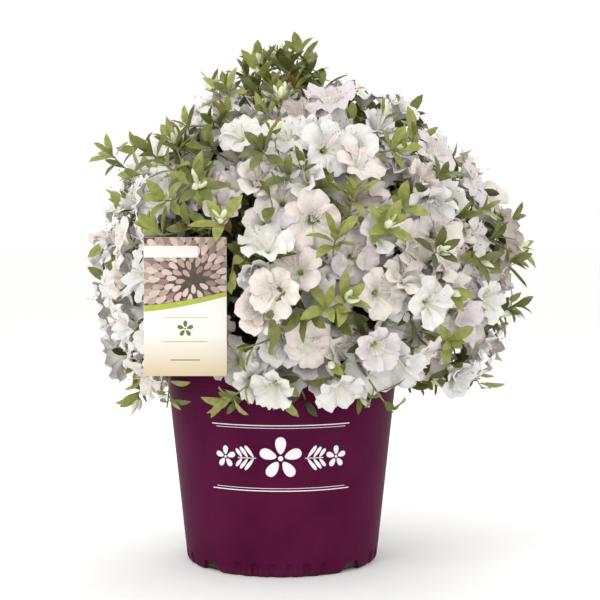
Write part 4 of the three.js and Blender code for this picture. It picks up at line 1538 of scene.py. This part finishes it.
# %% Petal finishes
PETAL_COLOURS = {
    # share of the blooms, light tint, dark tint
    "white": (0.26, srgb(234, 232, 227), srgb(221, 219, 214)),
    "pearl": (0.21, srgb(229, 227, 224), srgb(214, 212, 209)),
    "warm": (0.23, srgb(234, 228, 220), srgb(221, 214, 205)),
    "blush": (0.16, srgb(232, 222, 216), srgb(218, 207, 201)),
    "lavender": (0.14, srgb(223, 216, 216), srgb(207, 199, 200)),
}


def petal_finish(name, light, dark):
    """Thin, soft petal tissue, which lets a little light through."""
    finish = Finish(name, specular_ior_level=0.3, subsurface_weight=0.12, subsurface_scale=0.003)
    finish.put("Subsurface Radius", (1, 1, 1))
    veins = finish.grain(5, 4, roughness=0.65)
    finish.paint(veins.ramp(0.3, 0.7), light, dark)
    finish.put("Roughness", 0.55 + veins * 0.2)
    finish.bump(veins, 0.35)
    return finish


def small_finish(name, roughness, light, dark):
    """For threads and grains so small that a soft change of tint is all that shows."""
    finish = Finish(name, roughness=roughness)
    tint = finish.grain(6, 2)
    finish.paint(tint.ramp(0.3, 0.7), light, dark)
    finish.bump(finish.grain(0.6), 0.03)
    return finish


throat_finish = petal_finish("throat_green", srgb(226, 228, 196), srgb(208, 214, 172))
base_finish = petal_finish("petal_base", srgb(238, 237, 226), srgb(226, 226, 212))
filament_finish = small_finish("filaments", 0.5, srgb(240, 230, 226), srgb(231, 217, 217))
anther_finish = small_finish("anthers", 0.8, srgb(172, 154, 128), srgb(154, 136, 114))
speck_finish = small_finish("petal_specks", 0.6, srgb(168, 130, 136), srgb(150, 112, 122))

# %% Plant the blooms
bloom_spots = []
for bloom in blooms:
    top = np.array((0, 0, 1.0)) + rng.normal(0, 0.3, 3)
    turned, size = frame_along(bloom["facing"], top), bloom["radius"] / PETAL["reach"]
    bloom_spots.append((bloom["mouth"], turned, size, int(rng.integers(BLOOM_SHAPES))))
shares = [share for share, light, dark in PETAL_COLOURS.values()]
tints = rng.choice(list(PETAL_COLOURS), len(bloom_spots), p=shares)
for tint, (share, light, dark) in PETAL_COLOURS.items():
    chosen = [spot for spot, colour in zip(bloom_spots, tints) if colour == tint]
    finishes = [petal_finish(f"petal_{tint}", light, dark), base_finish, throat_finish]
    plant(f"petals_{tint}", chosen, corolla_shapes, finishes)
plant("stamens", bloom_spots, stamen_shapes, [filament_finish, anther_finish])
plant("petal_specks", bloom_spots, speck_shapes, [speck_finish])

# %% [markdown]
# ## Buds and stripes
# Not every flower is open. Pointed buds stand in twos and threes at the ends of young shoots, each
# furled in a slow spiral and held by a green calyx, and a few plump ones are about to open. A bud
# is a tube whose radius swells and then runs to a tip, with the petal edges as ridges that wind
# round it. Here and there a petal also carries one narrow pink streak, as sports of white azaleas
# do.

# %% Bud shapes
BUDS = [
    # length, radius, share of the length where it is widest and where it turns pink, 2 for never
    (21, 3.7, 0.42, 2),
    (17, 6.0, 0.56, 2),
    (25, 3.3, 0.4, 2),
    (19, 4.6, 0.5, 2),
    (22, 3.5, 0.42, 0.5),
]


def bud_relief(turn, run):
    """The edges of furled petals, as three ridges that wind round the bud."""
    return 1 + 0.13 * math.cos(3 * turn + run * 0.16) * min(1, run / 6)


bud_shapes = []
for number, (length, radius, widest, pink) in enumerate(BUDS):
    rings = np.array([0, 0.06, 0.16, 0.3, 0.45, 0.6, 0.75, 0.88, 0.97])
    swell = np.sin(math.pi * rings ** (math.log(0.5) / math.log(widest))) ** 0.75
    radii = np.maximum(radius * swell, [1.4, 1.9, 2.1, 0, 0, 0, 0, 0, 0.35])
    path = np.column_stack([0.9 * rings**2, 0 * rings, length * rings])
    shells = Shells()
    tube(shells, path, radii, 8, bud_relief)
    parts = []
    for row, ring in enumerate(rings[:-1]):
        parts += [1 if row < 2 else 2 if ring >= pink else 0] * 8
    caps = [1, 2 if pink < 1 else 0]
    bud_shapes.append(shape_mesh(f"bud_{number}", shells, parts + caps))

# %% Plant the buds at the ends of young shoots and beside blooms
BUD_ROOM = 24
bud_spots = []


def cluster(end, along, count, kinds):
    """A few buds that spread from one end, each of a kind picked from a list of bud numbers."""
    right, up = across(along)
    spin = rng.uniform(0, 2 * math.pi)
    for k in range(count):
        turn = spin + k * 2 * math.pi / max(count, 2)
        out = right * math.cos(turn) + up * math.sin(turn)
        way = unit(along + out * rng.uniform(0.25, 0.6) * (count > 1))
        tip = end + way * BUD_ROOM
        if not taken(tip)[0] and not cuts_a_bloom(end, tip):
            turned, size = frame_along(way, up + 0.01), rng.uniform(0.8, 1.1)
            bud_spots.append((end - along * 1.5, turned, size, int(rng.choice(kinds))))


for shoot in shoots:
    if shoot["layer"] in ("sprig", "fresh") and rng.random() < 0.36:
        along = unit(shoot["path"][-1] - shoot["path"][-2])
        cluster(shoot["end"], along, int(rng.integers(1, 4)), [0, 0, 2, 3])
for bloom in blooms:
    if rng.random() < 0.22:
        aside = around(bloom["facing"], rng.uniform(0, 2 * math.pi))
        end, along = bloom["end"] + aside * 4, unit(bloom["facing"] + aside * 1.5)
        cluster(end, along, int(rng.integers(1, 3)), [0, 1, 1, 3, 4])
bud_finish = petal_finish("bud_cream", srgb(236, 236, 214), srgb(216, 222, 184))
calyx_finish = Finish("calyx_green", roughness=0.6)
calyx_finish.paint(calyx_finish.grain(3, 2), srgb(150, 164, 84), srgb(120, 138, 66))
calyx_finish.bump(calyx_finish.grain(1), 0.1)
pink_finish = petal_finish("petal_pink", srgb(214, 96, 128), srgb(198, 74, 106))
plant("buds", bud_spots, bud_shapes, [bud_finish, calyx_finish, pink_finish])
print("buds", len(bud_spots))

# %% Streaks on a few petals
STREAK = {"thickness": 0.1, "first": 4, "every": 17}
streak_s = np.linspace(0.34, 0.96, 6)[:, None]
streak_t = 0.12 + np.array([0.006, 0.03, 0.022, 0.034, 0.02, 0.006])[:, None] * (-1, 0, 1)
lifted = np.array((0, 0, PETAL["thickness"] / 2 + STREAK["thickness"]))
streak_shapes = []
for bloom in characters:
    shells = Shells()
    grid = petal_point(bloom, 0, streak_s, streak_t)
    sheet_shape(grid + lifted, STREAK["thickness"], shells)
    streak_shapes.append(shape_mesh("streak", shells))
streaked = bloom_spots[STREAK["first"] :: STREAK["every"]]
streak_finish = petal_finish("streak_pink", srgb(206, 128, 166), srgb(192, 108, 150))
plant("petal_streaks", streaked, streak_shapes, [streak_finish])

# %% [markdown]
# ## The grower's label
# A stiff printed card hangs in front of the crown on a bent plastic stake. The card is a plate
# with small round corners. Its picture is a spiral of overlapping petal shapes in dusky tones
# above a green curved band, with a bare white strip across it, and the rest stays bare but for a
# small rosette between fine lines.

# %% Card and stake
card_finish = Finish("label_card", roughness=0.32, specular_ior_level=0.5)
height_on_card = card_finish.node("ShaderNodeSeparateXYZ", None, {0: card_finish.place}, output=2)
fibre = card_finish.grain(4, 4)
cream_fade = height_on_card.ramp(0.290, 0.243)
card_colour = card_finish.blend(cream_fade, srgb(233, 231, 225), srgb(202, 184, 148))
card_finish.paint(fibre.ramp(0.2, 0.9) * 0.08, card_colour, srgb(206, 196, 176))
card_finish.bump(fibre, 0.03)
card = Shells()
half_width = LABEL["width"] / 2 - LABEL["corner"]
half_height = LABEL["height"] / 2 - LABEL["corner"]
card_middle = LABEL["bottom"] + LABEL["height"] / 2
outline = []
for first, (x, z) in zip((-90, 0, 90, 180), SQUARE[1:] + SQUARE[:1]):
    middle = (x * half_width, z * half_height)
    outline += rounded(middle, LABEL["corner"], first, first + 90, 6)


def on_card(u, v, proud):
    return (LABEL["x"] + u, LABEL["y"] - proud, card_middle + v)


plate(card, outline, (0, 0), on_card, proud=0, sunk=LABEL["thickness"], rings=1)
ribbon = []
tangents = np.gradient(stake_line, axis=0)
for point, tangent in zip(stake_line, tangents):
    back = unit(np.array((0, -tangent[2], tangent[1])))
    ribbon += [point + np.array((x * 6, 0, 0)) + back * y * 0.7 for x, y in SQUARE]
count = len(stake_line)
card.add(ribbon, grid_faces(count, 4) + [[3, 2, 1, 0], [(count - 1) * 4 + k for k in range(4)]])
card.piece("label_card", [card_finish], "label_card", replaces=["plant_label"], smooth=False)

# %% Printing on the card
CARD_PRINTS = {
    "picture": (srgb(82, 66, 54), srgb(62, 50, 40)),
    "white": (srgb(236, 229, 225), srgb(228, 220, 215)),
    "pale": (srgb(214, 194, 182), srgb(194, 172, 160)),
    "dusk": (srgb(184, 160, 148), srgb(160, 136, 126)),
    "brown": (srgb(148, 124, 112), srgb(122, 102, 92)),
    "band": (srgb(172, 184, 66), srgb(154, 166, 54)),
    "olive": (srgb(104, 108, 52), srgb(90, 94, 44)),
}
CARD_SIDE, PICTURE_TOP = 44.7, 75.2  # how far the printing reaches from the middle of the card
WHITE_STRIP = {"top": 66, "bottom": 53.5, "end": 14}
SPIRAL = {"middle": (8, 30), "petals": 190, "step": 4.1, "length": 9.5, "growth": 0.12}
FLAT = {"proud": 0.1, "sunk": 0.2}
prints = {kind: Shells() for kind in CARD_PRINTS}


def low_edge(u):
    """The height on the card of the curve that the picture ends at."""
    return -2 + 15 * ((u + 45) / 90) ** 1.5


def area(shells, upper, lower, proud, last=CARD_SIDE, columns=36):
    """A printed area between two curves, from the left side of the card."""
    us = np.linspace(-CARD_SIDE, last, columns)
    front = [on_card(u, v, proud) for u in us for v in (lower(u), upper(u))]
    back = [on_card(u, v, -FLAT["sunk"]) for u in us for v in (lower(u), upper(u))]
    size = len(front)
    faces = [[2 * i, 2 * i + 2, 2 * i + 3, 2 * i + 1] for i in range(columns - 1)]
    under = [[k + size for k in reversed(f)] for f in faces]
    rim = [2 * i for i in range(columns)] + [2 * i + 1 for i in reversed(range(columns))]
    walls = [[b, a, a + size, b + size] for a, b in zip(rim, rim[1:] + rim[:1])]
    shells.add(front + back, faces + under + walls)


def band_top(u):
    return low_edge(u) + 3.5


def band_foot(u):
    return low_edge(u) - 2.5 + 0.02 * u


area(prints["picture"], lambda u: PICTURE_TOP, band_top, 0.05)
area(prints["band"], band_top, band_foot, 0.06)
area(
    prints["white"],
    lambda u: WHITE_STRIP["top"],
    lambda u: WHITE_STRIP["bottom"],
    0.18,
    WHITE_STRIP["end"],
    12,
)
for k in range(SPIRAL["petals"], 0, -1):
    turn, out = k * GOLDEN, SPIRAL["step"] * math.sqrt(k)
    start = from_point(SPIRAL["middle"], turn, out)
    length = SPIRAL["length"] + SPIRAL["growth"] * out
    petal_outline, _ = drop(start, length, length * 0.66, turn, 12)
    us, vs = np.array(petal_outline).T
    us = us.clip(0.1 - CARD_SIDE, CARD_SIDE - 0.1)
    vs = vs.clip(band_top(us) + 0.3, PICTURE_TOP - 0.1)
    if np.ptp(us) > 2.5 and np.ptp(vs) > 2.5:
        kind = ("pale", "dusk", "pale", "brown", "dusk")[k % 5]
        clipped, middle = np.column_stack([us, vs]), (us.mean(), vs.mean())
        plate(prints[kind], clipped, middle, on_card, 0.15 - k * 0.0006, FLAT["sunk"], 1)
rosette(prints["olive"], (0, -24), 9, on_card, **FLAT)
RULES = [("band", -38, 24, 0.8), ("band", -12, 24, 0.8), ("olive", -58, 16, 1)]
for kind, v, reach, width in RULES:
    band(prints[kind], reach, v, width, on_card, step=reach, **FLAT)
for kind, (light, dark) in CARD_PRINTS.items():
    finish = Finish(f"print_{kind}", roughness=0.34)
    finish.paint(finish.grain(9, 3).ramp(0.3, 0.7), light, dark)
    finish.bump(finish.grain(1), 0.02)
    prints[kind].piece(f"label_print_{kind}", [finish], "label_card", smooth=False)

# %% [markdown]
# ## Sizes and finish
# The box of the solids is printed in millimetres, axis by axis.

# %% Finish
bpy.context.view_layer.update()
for low, high, axis in zip(*cad_box, "xyz"):
    print(axis, "solids", round(low / MM), round(high / MM))
